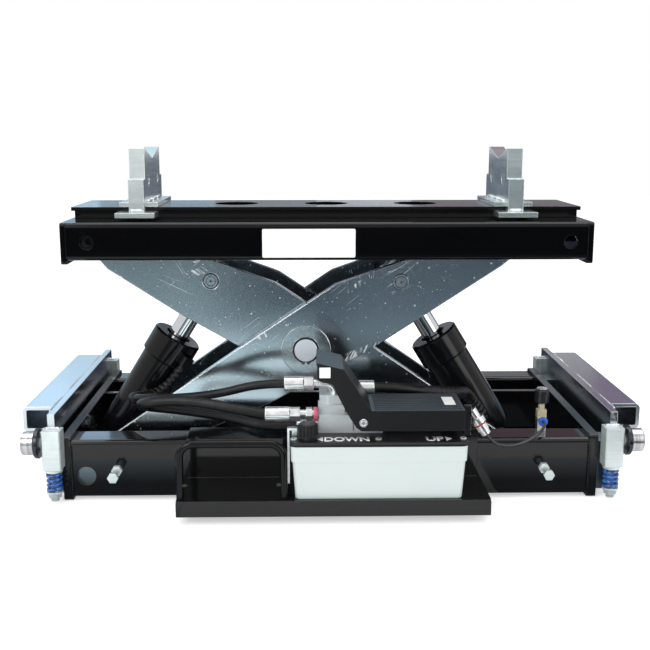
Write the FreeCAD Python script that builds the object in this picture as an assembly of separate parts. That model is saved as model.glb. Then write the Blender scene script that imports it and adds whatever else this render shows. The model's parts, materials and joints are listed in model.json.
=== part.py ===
import FreeCAD, Part
import math
import os

# Rolling scissor jack that hangs between two rails, with a foot pump in front.
# X runs along the jack, +Y away from the pump, +Z up. All sizes are millimetres.
# Pieces are drawn with the front beam's face at y = 0 and written out about the jack's middle.

vec = FreeCAD.Vector
os.makedirs("parts", exist_ok=True)

# Lower frame
beam_height = 80.0
beam_depth = 50.0
beam_wall = 5.0
beam_corner = 6.0
frame_depth = 390.0
foot_drop = 5.0            # the end plates reach this far below the beams
end_plate_rise = 5.0
end_plate_thickness = 12.0
end_plate_corner = 5.0
window_clearance = 0.5
access_hole_radius = 13.0
rail_thickness = 10.0
rail_ledge_width = 18.0
ledge_thickness = 5.7
cross_width = 40.0
cross_thickness = 8.0
cross_place_x = 190.0
clamp_inset = 62.0         # clamp screws, from the beams' ends
clamp_height = 44.0        # above the floor
clamp_radius = 4.0
clamp_reach = 29.5
clamp_head_radius = 7.5
clamp_head_height = 5.5
clamp_nut_height = 6.5

# Scissor arms
pivot_inset = 31.0         # lower pivot, from the frame's end
pivot_z = 38.0
lift_drop = 15.4           # degrees, from the drawn pose to the lowest one
roller_stop = 6.332        # between a track roller and the end plate, at the lowest pose
arm_half = 328.0           # end pivot to centre pivot
rest_angle = 28.6
scissor_y = 150.0          # middle plane of the scissor
arm_thickness = 12.0
arm_gap = 2.0
outer_arm_face = 80.0      # from the middle plane to the outer face of the outer arms
tip_radius = 21.0
arm_waist = 46.7           # half widths at the named places along the arm
arm_peak = 61.5
arm_shoulder = 44.3
arm_belly = 44.0
outer_arm_under = 36.5
inner_arm_under = 42.0
outer_arm_toe = 27.3
inner_arm_toe = 33.5
toe_inset = 32.0           # places along the arm, from its end pivot
arm_foot_under = 35.0
waist_place = 83.0
peak_place = 80.0
shoulder_inset = 142.0
belly_inset = 148.0
arm_corner = 30.0
arm_edge = 0.8
lug_inset = 166.0          # rod pin, along the arm from its end pivot
lug_rise = 20.0            # rod pin, above the arm's centre line
pin_radius = 11.0
pin_clearance = 0.05
centre_radius = 16.0
centre_stand = 9.0         # shaft beyond the outer arms
hub_radius = 35.0
hub_thickness = 4.0
circlip_width = 2.2
circlip_reach = 2.6
circlip_gap = 3.0
circlip_ear = 2.2
circlip_eye_share = 0.45
spacer_radius = 27.0
track_roller_radius = 18.0
track_roller_width = 13.0
side_clearance = 0.3
shaft_nib = 2.0
collar_radius = 16.0

# Upper frame
upper_inset = 1.0          # upper frame's ends, inside the lower frame's
upper_set = -4.0           # the upper frame stands this far to the left
upper_hole_radius = 8.8
upper_shaft_rise = 24.0    # roller shaft above the channels' underside
upper_height = 50.0
upper_front_y = 12.5
upper_flange = 80.0
upper_lower_flange = 53.5
upper_wall = 4.0
upper_corner = 6.0
upper_end_thickness = 7.0
upper_end_drop = 5.0
upper_end_corner = 4.0
lug_plate_width = 8.0
lug_plate_length = 46.0
socket_radius = 6.0
socket_depth = 8.0
rail_inset = 0.5           # from the upper frame's ends
rail_width = 137.0
rail_plate_thickness = 5.0
rail_body_height = 10.6
rail_lip = 4.0
rail_side = 6.0
rail_hole_radius = 31.0
rail_hole_spacing = 129.0

# Lift pads
pad_inset = 99.5           # right pad's middle, from the frame's end
left_pad_out = 9.5         # the left pad stands this far further out
pad_thickness = 20.8
pad_neck = 32.0            # from the rail's flange to the wide head
pad_head = 41.0
pad_upper_depth = 140.0
pad_leg = 17.0
pad_notch = 15.0
pad_notch_land = 5.0
pad_hole_radius = 10.5
pad_hole_spread = 84.0
pad_foot_length = 53.0
pad_foot_depth = 40.0
pad_foot_thickness = 7.0
pad_foot_lift = 3.0
pad_flange_thickness = 6.0
slide_clearance = 0.3

# Hydraulic cylinders
barrel_radius = 33.0
barrel_wall = 5.0
barrel_start = 24.0        # along the cylinder from its base pin
head_below = 21.831380    # top of the head under the rod pin, at the lowest pose
head_length = 40.0
head_radius = 36.5
head_edge = 2.5
gland_radius = 19.0
gland_depth = 3.0
gland_length = 25.0
eye_radius = 22.0
eye_width = 50.0
rod_radius = 15.0
rod_eye_width = 44.0
rod_eye_half = 27.0
rod_eye_rim = 6.0
piston_thickness = 12.0
piston_low = 31.831380     # foot of the piston at the lowest pose, from the base pin
pin_slack = 8.0            # sideways slack of the rod eye round its pin
pin_slack_along = 1.6
port_size = 15.0
head_port_rise = 20.0      # from the head's lower end
base_port_place = 42.0
head_port_turn = -50.0       # from the side towards the front
base_port_turn = -90.0

# Telescoping carriages
plate_gap = 25.0           # carriage plate, beyond the frame's end
plate_thickness = 9.5
plate_top = 124.0
plate_bottom = 10.0
plate_overhang = 7.0       # upper part of the plate beyond the frame
plate_step = -1.0          # lower part of the plate, inside the frame's ends
channel_width = 43.5
channel_bottom = 88.0
channel_wall = 5.0
channel_corner = 7.0
channel_inset = 33.0
bar_length = 278.0
bar_wall = 4.0
carriage_travel = 120.0
left_carriage_in = 7.0     # the left carriage is drawn further in than the right one

# Rail roller units
block_gap = 15.0           # roller blocks, beyond the frame's end
block_length = 25.0
block_depth = 24.0
block_bottom = 51.0
block_top = 105.0
block_edge = 1.5
axle_z = 86.5
axle_radius = 8.0
slot_clearance = 0.2
roller_lift = 6.0
flange_gap = 8.5           # roller flange, beyond the carriage plate
flange_radius = 20.5
flange_width = 7.0
tread_radius = 16.0
tread_width = 17.0
stud_radius = 5.5
stud_bottom = 6.0
nut_radius = 9.2
nut_height = 6.0
nut_rise = 5.0             # below the nut the stud stands out
washer_radius = 10.8
washer_thickness = 2.5
seat_radius = 11.6
seat_thickness = 4.0
spring_radius = 8.8        # to the middle of the wire
spring_wire = 2.0          # wire radius
spring_turns = 4.25

# Pump tray and guard
tray_left_x = -201.0
tray_right_x = 203.0
tray_hook_left_x = -196.0
tray_hook_right_x = 199.0
tray_sheet = 3.0
tray_floor_z = 30.0
tray_depth = 90.0
tray_lip = 21.0
tray_corner = 8.0
gusset_share = 0.8
guard_radius = 5.0
guard_right_x = -63.0
guard_y = -82.0
guard_top = 106.0
guard_bend = 18.0

# Foot pump
tank_left_x = -53.0
tank_right_x = 171.0
tank_taper = 5.0
tank_depth = 80.0
tank_height = 70.0
tank_back_y = -6.0
tank_corner = 12.0
tank_wall = 3.0
tank_lip = 2.0
tank_lip_height = 12.0
lid_thickness = 5.0
lid_corner = 10.0
lid_overhang = 2.5
cap_radius = 12.5
cap_height = 21.0
cap_x = -31.5
cap_y = -69.0
cap_grip = 1.2
cap_grips = 16
screw_radius = 4.2
screw_height = 1.6
screw_inset = 17.0
screw_side = 5.5
treadle_front_y = -80.0
treadle_width = 84.0
treadle_wall = 3.0
treadle_pivot_x = 39.0
treadle_pivot_z = 132.0
treadle_deck = 148.0
treadle_left_x = -20.0
treadle_right_x = 168.5
treadle_skirt = 27.0
treadle_left_rise = 62.5
treadle_knee_x = 13.5
treadle_knee_rise = 54.0
treadle_edge = 2.0
tread_rib = 1.0
tread_rib_width = 3.0
tread_ribs = 9
treadle_pin_radius = 5.0
pump_block_left_x = -18.0
pump_block_right_x = 28.0
pump_block_depth = 38.0
pump_block_front_y = -44.0
pump_step_height = 24.0
pump_step_top = 34.0
pump_step_width = 35.0
pump_step_setback = 14.0
pump_base_right_x = 66.0
pump_base_thickness = 2.5
ear_half = 10.0
ear_rise = 9.0
motor_radius = 12.0
motor_length = 96.0
outlet_size = 20.0
outlet_height = 12.0
outlet_bend = 12.0
elbow_size = 16.0
elbow_gap = 2.4            # behind the treadle
bracket_thickness = 3.0
bracket_width = 10.0
bracket_plate_width = 7.0
bracket_rise = 12.0
bracket_y = -62.0

# Hoses and fittings
hose_radius = 7.0
ferrule_radius = 10.0
ferrule_length = 26.0
collar_nut_radius = 9.5
collar_nut_length = 13.0
mid_ferrule_extra = 7.0
mid_nut_extra = 16.0
neck_radius = 6.0
neck_length = 8.0
air_radius = 2.2
air_body_radius = 8.0
air_ring_radius = 10.0
valve_width = 13.0
valve_height = 34.0
valve_neck = 10.0
knob_radius = 10.0
knob_height = 18.0
collar_rise = 20.0         # push-in collar, above the beam
valve_inset = 62.0
port_run = 48.0            # straight end of a hose, in line with its port
post_width = 9.0
post_y = -38.0
post_top = 143.0
coupling_run = 21.0
coupling_drop = 33.0
air_neck_share = 0.7
air_body_share = 0.85
over = 1.0                 # every cut runs this far past its faces

# Worked out sizes
angle = math.radians(rest_angle)
cos_a = math.cos(angle)
sin_a = math.sin(angle)
low_angle = angle - math.radians(lift_drop)
low_reach = 2 * arm_half * math.cos(low_angle)
toe_place = arm_half - toe_inset
shoulder_place = arm_half - shoulder_inset
belly_place = arm_half - belly_inset
lug_place = arm_half - lug_inset
closed_across = lug_inset * math.cos(low_angle) + lug_rise * math.sin(low_angle)
closed_rise = (arm_half + lug_place) * math.sin(low_angle) + lug_rise * math.cos(low_angle)
closed_reach = math.hypot(closed_across, closed_rise)
head_end = closed_reach - head_below
head_start = head_end - head_length
piston_reach = closed_reach - piston_low
head_port_place = head_start + head_port_rise
roller_room = track_roller_radius + roller_stop + end_plate_thickness
beam_half_length = (pivot_inset + low_reach + roller_room) / 2
pivot_x = pivot_inset - beam_half_length
clamp_place_x = beam_half_length - clamp_inset
upper_half_length = beam_half_length - upper_inset
rail_half_length = upper_half_length - rail_inset
pad_place_x = beam_half_length - pad_inset
plate_inner_x = beam_half_length + plate_gap
block_inner_x = beam_half_length + block_gap
flange_start_x = plate_inner_x + plate_thickness + flange_gap
valve_x = beam_half_length - valve_inset
beam_bottom = foot_drop
beam_top = beam_bottom + beam_height
plate_top_z = beam_top + end_plate_rise
end_outer_x = beam_half_length + end_plate_thickness
rear_beam_y = frame_depth - beam_depth
outer_arm_inner = outer_arm_face - arm_thickness
inner_arm_face = outer_arm_inner - arm_gap
inner_arm_inner = inner_arm_face - arm_thickness
centre_x = pivot_x + arm_half * cos_a
centre_z = pivot_z + arm_half * sin_a
far_x = pivot_x + 2 * arm_half * cos_a
high_z = pivot_z + 2 * arm_half * sin_a
upper_bottom = high_z - upper_shaft_rise
upper_top = upper_bottom + upper_height
upper_rear_y = 2 * scissor_y - upper_front_y
rail_base = upper_top
rail_top = rail_base + rail_body_height + rail_plate_thickness
pad_seat = rail_top + slide_clearance + pad_flange_thickness
pad_ledge = pad_seat + pad_neck
pad_top = pad_ledge + pad_head
tank_front_y = tank_back_y - tank_depth
tank_bottom = tray_floor_z + tray_sheet
tank_top = tank_bottom + tank_height
lid_top = tank_top + lid_thickness
inner_rail_y = scissor_y + outer_arm_face + rail_ledge_width + arm_gap
stud_inset = plate_step - block_depth / 2
rear_reach = frame_depth - stud_inset + flange_radius
middle_y = (rear_reach - tray_depth - tray_sheet) / 2


def block(x, y, z):
    """Box between two places on each axis."""
    size = (x[1] - x[0], y[1] - y[0], z[1] - z[0])
    return Part.makeBox(size[0], size[1], size[2], vec(x[0], y[0], z[0]))


def bar(start, way, length, radius):
    """Round bar from a point along a direction."""
    return Part.makeCylinder(radius, length, start, way)


def cross_bar(x, z, y_from, y_to, radius):
    """Round bar along Y."""
    return bar(vec(x, y_from, z), vec(0, 1, 0), y_to - y_from, radius)


def edges_along(shape, way):
    """Straight edges that run along a direction."""
    found = []
    for edge in shape.Edges:
        if edge.Curve.TypeId != "Part::GeomLine":
            continue
        run = edge.Vertexes[1].Point - edge.Vertexes[0].Point
        if run.Length > 0 and abs(run.normalize().dot(way)) > 0.999:
            found.append(edge)
    return found


def rounded(shape, way, radius):
    return shape.makeFillet(radius, edges_along(shape, way))


def turned(shape, x, z, degrees):
    """Turn about an axis along Y, positive from +X towards +Z."""
    copy = shape.copy()
    copy.rotate(vec(x, 0, z), vec(0, -1, 0), degrees)
    return copy


def mirrored(shape, x=0.0):
    """Mirror image on the other side of a plane across X."""
    return shape.mirror(vec(x, 0, 0), vec(1, 0, 0))


def flipped(shape, y):
    """Mirror image on the other side of a plane across Y."""
    return shape.mirror(vec(0, y, 0), vec(0, 1, 0))


def face_of(points, y):
    """Flat face in the XZ plane from its corners."""
    loop = [vec(x, y, z) for x, z in points]
    return Part.Face(Part.makePolygon(loop + loop[:1]))


def hex_prism(start, way, length, radius):
    """Six sided prism, radius to its corners."""
    side = way.cross(vec(0, 0, 1))
    if side.Length < 0.5:
        side = vec(1, 0, 0)
    side.normalize()
    rise = way.cross(side)
    loop = []
    for i in range(6):
        turn = math.radians(60 * i)
        loop.append(start + side * (radius * math.cos(turn)) + rise * (radius * math.sin(turn)))
    return Part.Face(Part.makePolygon(loop + loop[:1])).extrude(way * length)


def keep(name, *solids):
    """Write one node, as one solid or as a group of separate solids."""
    parts = []
    for solid in solids:
        parts.extend(solid.Solids)
    shape = parts[0] if len(parts) == 1 else Part.makeCompound(parts)
    placed = shape.copy()
    placed.translate(vec(0, -middle_y, 0))
    placed.exportStep("parts/" + name + ".step")
    return shape


# Lower frame

def hollow_beam(y, half_length):
    """Rectangular tube along X with round corners."""
    x = (-half_length, half_length)
    body = rounded(block(x, (y, y + beam_depth), (beam_bottom, beam_top)), vec(1, 0, 0), beam_corner)
    inner = block((x[0] - over, x[1] + over),
                  (y + beam_wall, y + beam_depth - beam_wall),
                  (beam_bottom + beam_wall, beam_top - beam_wall))
    inner = rounded(inner, vec(1, 0, 0), beam_corner - beam_wall)
    return body.cut(inner)


def front_beam():
    beam = hollow_beam(0, beam_half_length)
    beam = beam.cut(cross_bar(pivot_x - pin_radius, pivot_z - foot_drop / 2, -over,
                              beam_wall + over, access_hole_radius))
    for side in (-1, 1):
        beam = beam.cut(cross_bar(side * clamp_place_x, clamp_height, -over, beam_wall + over,
                                  clamp_radius + pin_clearance))
    return beam


def end_plate():
    """Plate across both beams, with a window for each sliding bar."""
    plate = block((beam_half_length, end_outer_x), (0, frame_depth), (0, plate_top_z))
    plate = rounded(plate, vec(1, 0, 0), end_plate_corner)
    for y in (0, rear_beam_y):
        window = block((beam_half_length - over, end_outer_x + over),
                       (y + beam_wall, y + beam_depth - beam_wall),
                       (beam_bottom + beam_wall, beam_top - beam_wall))
        plate = plate.cut(window)
    return plate


def inner_rail():
    """Standing rail behind the scissor, with the rear roller ledge."""
    ledge_top = pivot_z - track_roller_radius - slide_clearance
    rail = block((-beam_half_length, beam_half_length), (inner_rail_y, inner_rail_y + rail_thickness),
                 (beam_bottom, beam_top))
    ledge = block((centre_x, beam_half_length), (inner_rail_y - rail_ledge_width, inner_rail_y + over),
                  (ledge_top - ledge_thickness, ledge_top))
    rail = rail.fuse(ledge).removeSplitter()
    return rail.cut(cross_bar(pivot_x, pivot_z, inner_rail_y - over,
                              inner_rail_y + rail_thickness + over, pin_radius + pin_clearance))


def front_ledge():
    ledge_top = pivot_z - track_roller_radius - slide_clearance
    return block((centre_x, beam_half_length), (beam_depth, beam_depth + rail_ledge_width),
                 (ledge_top - ledge_thickness, ledge_top))


def pivot_lug():
    """Boss on the front beam that holds the lower pivot shaft."""
    end = scissor_y - outer_arm_face - arm_gap
    half = pin_radius * 2
    lug = block((pivot_x - half, pivot_x + half), (beam_depth, end), (pivot_z - half, pivot_z + half))
    lug = rounded(lug, vec(0, 1, 0), half / 2)
    return lug.cut(cross_bar(pivot_x, pivot_z, beam_depth - over, end + over, pin_radius + pin_clearance))


def cross_members():
    strips = []
    for side in (-1, 1):
        x = (side * cross_place_x - cross_width / 2, side * cross_place_x + cross_width / 2)
        z = (beam_bottom, beam_bottom + cross_thickness)
        strips.append(block(x, (beam_depth, inner_rail_y), z))
        strips.append(block(x, (inner_rail_y + rail_thickness, rear_beam_y), z))
    return strips


def clamp_screw(x):
    """Hexagon screw that grips the sliding bar, with its lock nut."""
    way = vec(0, 1, 0)
    shank_end = beam_wall + window_clearance / 2
    shank = cross_bar(x, clamp_height, -clamp_reach, shank_end, clamp_radius)
    head = hex_prism(vec(x, -clamp_reach - clamp_head_height, clamp_height), way,
                     clamp_head_height, clamp_head_radius)
    nut_y = -clamp_nut_height
    nut = hex_prism(vec(x, nut_y, clamp_height), way, clamp_nut_height, clamp_head_radius)
    nut = nut.cut(cross_bar(x, clamp_height, nut_y - over, nut_y + clamp_nut_height + over,
                            clamp_radius + pin_clearance))
    return [shank.fuse(head), nut]


def build_lower_frame():
    keep("front_beam", front_beam())
    keep("rear_beam", hollow_beam(rear_beam_y, beam_half_length))
    plate = end_plate()
    keep("end_plates", plate, mirrored(plate))
    keep("inner_rails", inner_rail(), front_ledge(), pivot_lug(), *cross_members())
    start = beam_depth + side_clearance
    keep("lower_pivot_shaft", cross_bar(pivot_x, pivot_z, start, inner_rail_y + rail_thickness, pin_radius))
    screws = []
    for side in (-1, 1):
        screws.extend(clamp_screw(side * clamp_place_x))
    keep("clamp_screws", *screws)


# Scissor arms

def arm_outline(y, under, toe):
    """Arm along X about the centre pivot: wide in the middle, narrow and round at the tips."""
    top = [(-arm_half, tip_radius), (-waist_place, arm_waist), (peak_place, arm_peak),
           (shoulder_place, arm_shoulder), (arm_half, tip_radius)]
    low = [(arm_half, -tip_radius), (toe_place, -toe), (belly_place, -under), (waist_place, -arm_belly),
           (-waist_place, -arm_belly), (-belly_place, -arm_foot_under), (-arm_half, -tip_radius)]
    edges = []
    for line in (top, low):
        points = [vec(u, y, w) for u, w in line]
        for a, b in zip(points, points[1:]):
            edges.append(Part.LineSegment(a, b).toShape())
    for side in (1, -1):
        tip = side * (arm_half + tip_radius)
        arc = Part.Arc(vec(side * arm_half, y, side * tip_radius), vec(tip, y, 0),
                       vec(side * arm_half, y, -side * tip_radius))
        edges.append(arc.toShape())
    return Part.Face(Part.Wire(Part.__sortEdges__(edges)))


def arm_plate(y, mirror, holes):
    """One arm plate at its rest angle; its front face is at y."""
    under, toe = (inner_arm_under, inner_arm_toe) if mirror else (outer_arm_under, outer_arm_toe)
    plate = arm_outline(y, under, toe).extrude(vec(0, arm_thickness, 0))
    corners = []
    for edge in edges_along(plate, vec(0, 1, 0)):
        at = edge.Vertexes[0].Point
        if abs(at.x) < belly_place + over or (at.x > 0 and abs(at.x - shoulder_place) < over):
            corners.append(edge)
    plate = plate.makeFillet(arm_corner, corners)
    for u, w, radius in holes:
        plate = plate.cut(cross_bar(u, w, y - over, y + arm_thickness + over, radius))
    front = [e for e in plate.Edges if e.BoundBox.YLength < arm_edge / 2]
    plate = plate.makeChamfer(arm_edge, front)
    if mirror:
        plate = mirrored(plate)
    plate.translate(vec(centre_x, 0, centre_z))
    return turned(plate, centre_x, centre_z, -rest_angle if mirror else rest_angle)


def arm_pair(face, mirror):
    """The front and rear plates of one arm."""
    fit = pin_clearance
    holes = [(-arm_half, 0, pin_radius + fit), (0, 0, centre_radius + fit),
             (lug_place, lug_rise, pin_radius + fit), (arm_half, 0, pin_radius + fit)]
    front = arm_plate(scissor_y - face, mirror, holes)
    return [front, flipped(front, scissor_y)]


def lug_point(mirror):
    """Rod pin on the upper half of an arm, at rest."""
    u, w = lug_place, lug_rise
    side = -1 if mirror else 1
    return (centre_x + side * (u * cos_a - w * sin_a), centre_z + u * sin_a + w * cos_a)


def ring(x, z, y_from, y_to, outer, inner):
    return cross_bar(x, z, y_from, y_to, outer).cut(cross_bar(x, z, y_from - over, y_to + over, inner))


def hub_washers():
    """Flat washer under the circlip on each end of the centre shaft."""
    solids = []
    y = scissor_y - outer_arm_face
    washer = ring(centre_x, centre_z, y - hub_thickness, y, hub_radius, centre_radius + pin_clearance)
    washer = washer.makeChamfer(arm_edge, [e for e in washer.Edges if e.BoundBox.YMax < y - arm_edge
                                           and e.BoundBox.XLength > centre_radius * 3])
    for solid in (washer, circlip(y - hub_thickness - circlip_width, y - hub_thickness)):
        solids.extend([solid, flipped(solid, scissor_y)])
    return solids


def circlip(front, back):
    """Open spring ring with two eyes at the bottom."""
    clip = ring(centre_x, centre_z, front, back, centre_radius + circlip_reach,
                centre_radius + pin_clearance)
    bottom = centre_z - centre_radius - circlip_ear * 2
    half = circlip_gap / 2
    clip = clip.cut(block((centre_x - half, centre_x + half), (front - over, back + over),
                          (bottom, centre_z)))
    eye_z = centre_z - centre_radius - circlip_ear - pin_clearance
    for side in (-1, 1):
        x = centre_x + side * (half + circlip_ear)
        ear = cross_bar(x, eye_z, front, back, circlip_ear)
        hole = cross_bar(x, eye_z, front - over, back + over, circlip_ear * circlip_eye_share)
        clip = clip.fuse(ear).removeSplitter().cut(hole)
    return clip


def build_scissor():
    keep("outer_arms", *arm_pair(outer_arm_face, False))
    keep("inner_arms", *arm_pair(inner_arm_face, True))
    face = outer_arm_face + centre_stand
    shaft = cross_bar(centre_x, centre_z, scissor_y - face, scissor_y + face, centre_radius)
    ends = [e for e in shaft.Edges if e.BoundBox.YLength < arm_edge / 2]
    outer_pins = [shaft.makeChamfer(arm_edge, ends)]
    keep("hub_washers", *hub_washers())
    half = inner_arm_inner - side_clearance
    keep("arm_spacer", ring(centre_x, centre_z, scissor_y - half, scissor_y + half,
                            spacer_radius, centre_radius + pin_clearance))
    x, z = lug_point(False)
    half = outer_arm_face + shaft_nib
    outer_pins.append(cross_bar(x, z, scissor_y - half, scissor_y + half, pin_radius))
    x, z = lug_point(True)
    half = inner_arm_face
    inner_pins = [cross_bar(x, z, scissor_y - half, scissor_y + half, pin_radius)]
    roller_in = outer_arm_face + side_clearance + shaft_nib
    roller_out = roller_in + track_roller_width
    for name, z, pins in (("lower", pivot_z, inner_pins), ("upper", high_z, outer_pins)):
        x = far_x
        half = roller_out + side_clearance
        pins.append(cross_bar(x, z, scissor_y - half, scissor_y + half, pin_radius))
        roller = ring(x, z, scissor_y - roller_out, scissor_y - roller_in,
                      track_roller_radius, pin_radius + pin_clearance)
        keep(name + "_rollers", roller, flipped(roller, scissor_y))
    keep("outer_arm_pins", *outer_pins)
    keep("inner_arm_pins", *inner_pins)


# Hydraulic cylinders, drawn upright along Z from the base pin and then leaned over

def lean(shape):
    """Place an upright cylinder piece on the left base pin, leaning to its rod pin."""
    x, z = lug_point(True)
    tilt = math.degrees(math.atan2(x - pivot_x, z - pivot_z))
    copy = shape.copy()
    copy.translate(vec(pivot_x, scissor_y, pivot_z))
    return turned(copy, pivot_x, pivot_z, -tilt)


def upright(start, end, radius):
    return bar(vec(0, 0, start), vec(0, 0, 1), end - start, radius)


def lying(z, half, radius):
    """Round bar along Y through the cylinder's axis."""
    return bar(vec(0, -half, z), vec(0, 1, 0), half * 2, radius)


def barrel():
    tube = upright(barrel_start, head_start, barrel_radius)
    head = upright(head_start, head_end, head_radius)
    rims = [e for e in head.Edges if e.BoundBox.ZLength < arm_edge / 2]
    head = head.makeChamfer(head_edge, rims)
    eye = lying(0, eye_width / 2, eye_radius)
    neck = upright(0, barrel_start + barrel_wall, eye_radius)
    body = tube.fuse([head, eye, neck])
    bore_end = head_end - gland_length
    body = body.cut(upright(barrel_start + barrel_wall / 2, bore_end, barrel_radius - barrel_wall))
    body = body.cut(upright(bore_end - over, head_end + over, rod_radius + pin_clearance))
    body = body.cut(upright(head_end - gland_depth, head_end + over, gland_radius))
    body = body.cut(lying(0, eye_width, pin_radius + pin_clearance))
    return body


def rod_pin_distance():
    x, z = lug_point(True)
    return math.hypot(x - pivot_x, z - pivot_z)


def rod():
    """Rod with its piston and an eye that has sideways slack round the pin."""
    reach = rod_pin_distance()
    foot = reach - piston_reach
    stem = upright(foot, reach - pin_radius, rod_radius)
    piston = upright(foot, foot + piston_thickness, barrel_radius - barrel_wall - pin_clearance)
    slot_half = pin_radius + pin_slack
    slot_high = pin_radius + pin_slack_along
    high = slot_high + rod_eye_rim
    eye = block((-rod_eye_half, rod_eye_half), (-rod_eye_width / 2, rod_eye_width / 2),
                (reach - high, reach + high))
    eye = rounded(eye, vec(0, 1, 0), high - over)
    slot = block((-slot_half, slot_half), (-rod_eye_width, rod_eye_width),
                 (reach - slot_high, reach + slot_high))
    slot = rounded(slot, vec(0, 1, 0), slot_high - over)
    return stem.fuse([piston, eye]).cut(slot)


def port(place, radius, turn):
    """Square port block on the side of a cylinder, turned about its axis."""
    half = port_size / 2
    body = block((radius - over, radius + port_size), (-half, half), (place - half, place + half))
    body.rotate(vec(0, 0, 0), vec(0, 0, 1), turn)
    return body


def build_cylinders():
    """The left barrel has its port on the head, the right one near its base."""
    tube = barrel()
    left = lean(tube.fuse(port(head_port_place, head_radius, head_port_turn)))
    right = lean(tube.fuse(port(base_port_place, barrel_radius, base_port_turn)))
    stem = lean(rod())
    keep("left_barrel", left)
    keep("right_barrel", mirrored(right, centre_x))
    keep("left_rod", stem)
    keep("right_rod", mirrored(stem, centre_x))


# Upper frame and its rail

def upper_beam():
    """Folded channel, open towards the scissor, with a wide top flange for the rail."""
    reach = upper_half_length - upper_end_thickness
    x = (upper_set - reach, upper_set + reach)
    y = (upper_front_y, upper_front_y + upper_flange)
    beam = block(x, y, (upper_bottom, upper_top))
    front = [e for e in edges_along(beam, vec(1, 0, 0)) if e.BoundBox.YMax < y[0] + over]
    beam = beam.makeFillet(upper_corner, front)
    inner = block((x[0] - over, x[1] + over), (y[0] + upper_wall, y[1] + over),
                  (upper_bottom + upper_wall, upper_top - upper_wall))
    below = block((x[0] - over, x[1] + over), (y[0] + upper_lower_flange, y[1] + over),
                  (upper_bottom - over, upper_top - upper_wall))
    beam = beam.cut(inner).cut(below)
    for place in (pivot_x, upper_set - pivot_x):
        beam = beam.cut(cross_bar(place, high_z, y[0] - over, y[0] + upper_wall + over,
                                  upper_hole_radius))
    return beam


def upper_end():
    """End plate that closes both channels and hangs a little below them."""
    outer = upper_set + upper_half_length
    plate = block((outer - upper_end_thickness, outer),
                  (upper_front_y, upper_rear_y), (upper_bottom - upper_end_drop, upper_top))
    return rounded(plate, vec(1, 0, 0), upper_end_corner)


def upper_lug():
    """Plate between the flanges that holds the upper pivot shaft."""
    y = upper_front_y + upper_lower_flange - lug_plate_width
    half = lug_plate_length / 2
    left = max(pivot_x - half, upper_set - upper_half_length + upper_end_thickness)
    lug = block((left, pivot_x + half), (y, y + lug_plate_width),
                (upper_bottom + upper_wall, upper_top - upper_wall))
    return lug.cut(cross_bar(pivot_x, high_z, y - over, y + lug_plate_width + over,
                             pin_radius + pin_clearance))


def upper_pivot_shaft():
    """Shaft with a hexagon socket that shows through the access hole."""
    start = upper_front_y + upper_wall + over
    shaft = cross_bar(pivot_x, high_z, start, 2 * scissor_y - start, pin_radius)
    socket = hex_prism(vec(pivot_x, start - over, high_z), vec(0, 1, 0), socket_depth, socket_radius)
    return shaft.cut(socket)


def top_rail():
    """Wide flat rail with thin overhanging lips and three round holes."""
    front = scissor_y - rail_width / 2
    back = scissor_y + rail_width / 2
    ends = (upper_set - rail_half_length, upper_set + rail_half_length)
    deck = block(ends, (front, back), (rail_base + rail_body_height, rail_top))
    body = block((ends[0] + rail_lip, ends[1] - rail_lip),
                 (front + rail_lip, back - rail_lip), (rail_base, rail_base + rail_body_height + over / 2))
    hollow = block((ends[0] + rail_lip + rail_side, ends[1] - rail_lip - rail_side),
                   (front + rail_lip + rail_side, back - rail_lip - rail_side),
                   (rail_base - over, rail_base + rail_body_height))
    rail = deck.fuse(body.cut(hollow)).removeSplitter()
    for i in (-1, 0, 1):
        rail = rail.cut(bar(vec(upper_set + i * rail_hole_spacing, scissor_y, rail_base), vec(0, 0, 1),
                            rail_top - rail_base + over, rail_hole_radius))
    return rail


def pad_plate():
    """Standing pad plate with a shallow V on top and legs that straddle the rail."""
    x0 = -pad_place_x - pad_thickness / 2
    foot_top = rail_base + slide_clearance + pad_foot_lift + pad_foot_thickness
    seat = pad_seat
    half_rail = rail_width / 2 + slide_clearance
    half_leg = half_rail + pad_leg
    half_top = pad_upper_depth / 2
    half_notch = half_top - pad_notch_land
    right = [(half_rail, seat), (half_rail, foot_top), (half_leg, foot_top), (half_leg, pad_ledge),
             (half_top, pad_ledge), (half_top, pad_top), (half_notch, pad_top)]
    left = [(-y, z) for y, z in reversed(right)]
    outline = [(0, pad_top - pad_notch)]
    loop = [vec(x0, scissor_y + y, z) for y, z in right + outline + left]
    plate = Part.Face(Part.makePolygon(loop + loop[:1])).extrude(vec(pad_thickness, 0, 0))
    for side in (-1, 1):
        hole = bar(vec(x0 - over, scissor_y + side * pad_hole_spread / 2, pad_ledge), vec(1, 0, 0),
                   pad_thickness + over * 2, pad_hole_radius)
        plate = plate.cut(hole)
    return plate.makeChamfer(arm_edge, edges_along(plate, vec(1, 0, 0))[:1])


def lift_pad():
    """Pad plate, the flange on the rail and a hooked foot on each side."""
    x = (-pad_place_x - pad_foot_length / 2, -pad_place_x + pad_foot_length / 2)
    half_rail = rail_width / 2
    flange_z = rail_top + slide_clearance
    flange = block(x, (scissor_y - half_rail, scissor_y + half_rail),
                   (flange_z, flange_z + pad_flange_thickness))
    foot_in = half_rail - rail_lip + slide_clearance
    foot_z = rail_base + slide_clearance + pad_foot_lift
    foot = block(x, (scissor_y - foot_in - pad_foot_depth, scissor_y - foot_in),
                 (foot_z, foot_z + pad_foot_thickness))
    return [pad_plate(), flange, foot, flipped(foot, scissor_y)]


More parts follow.
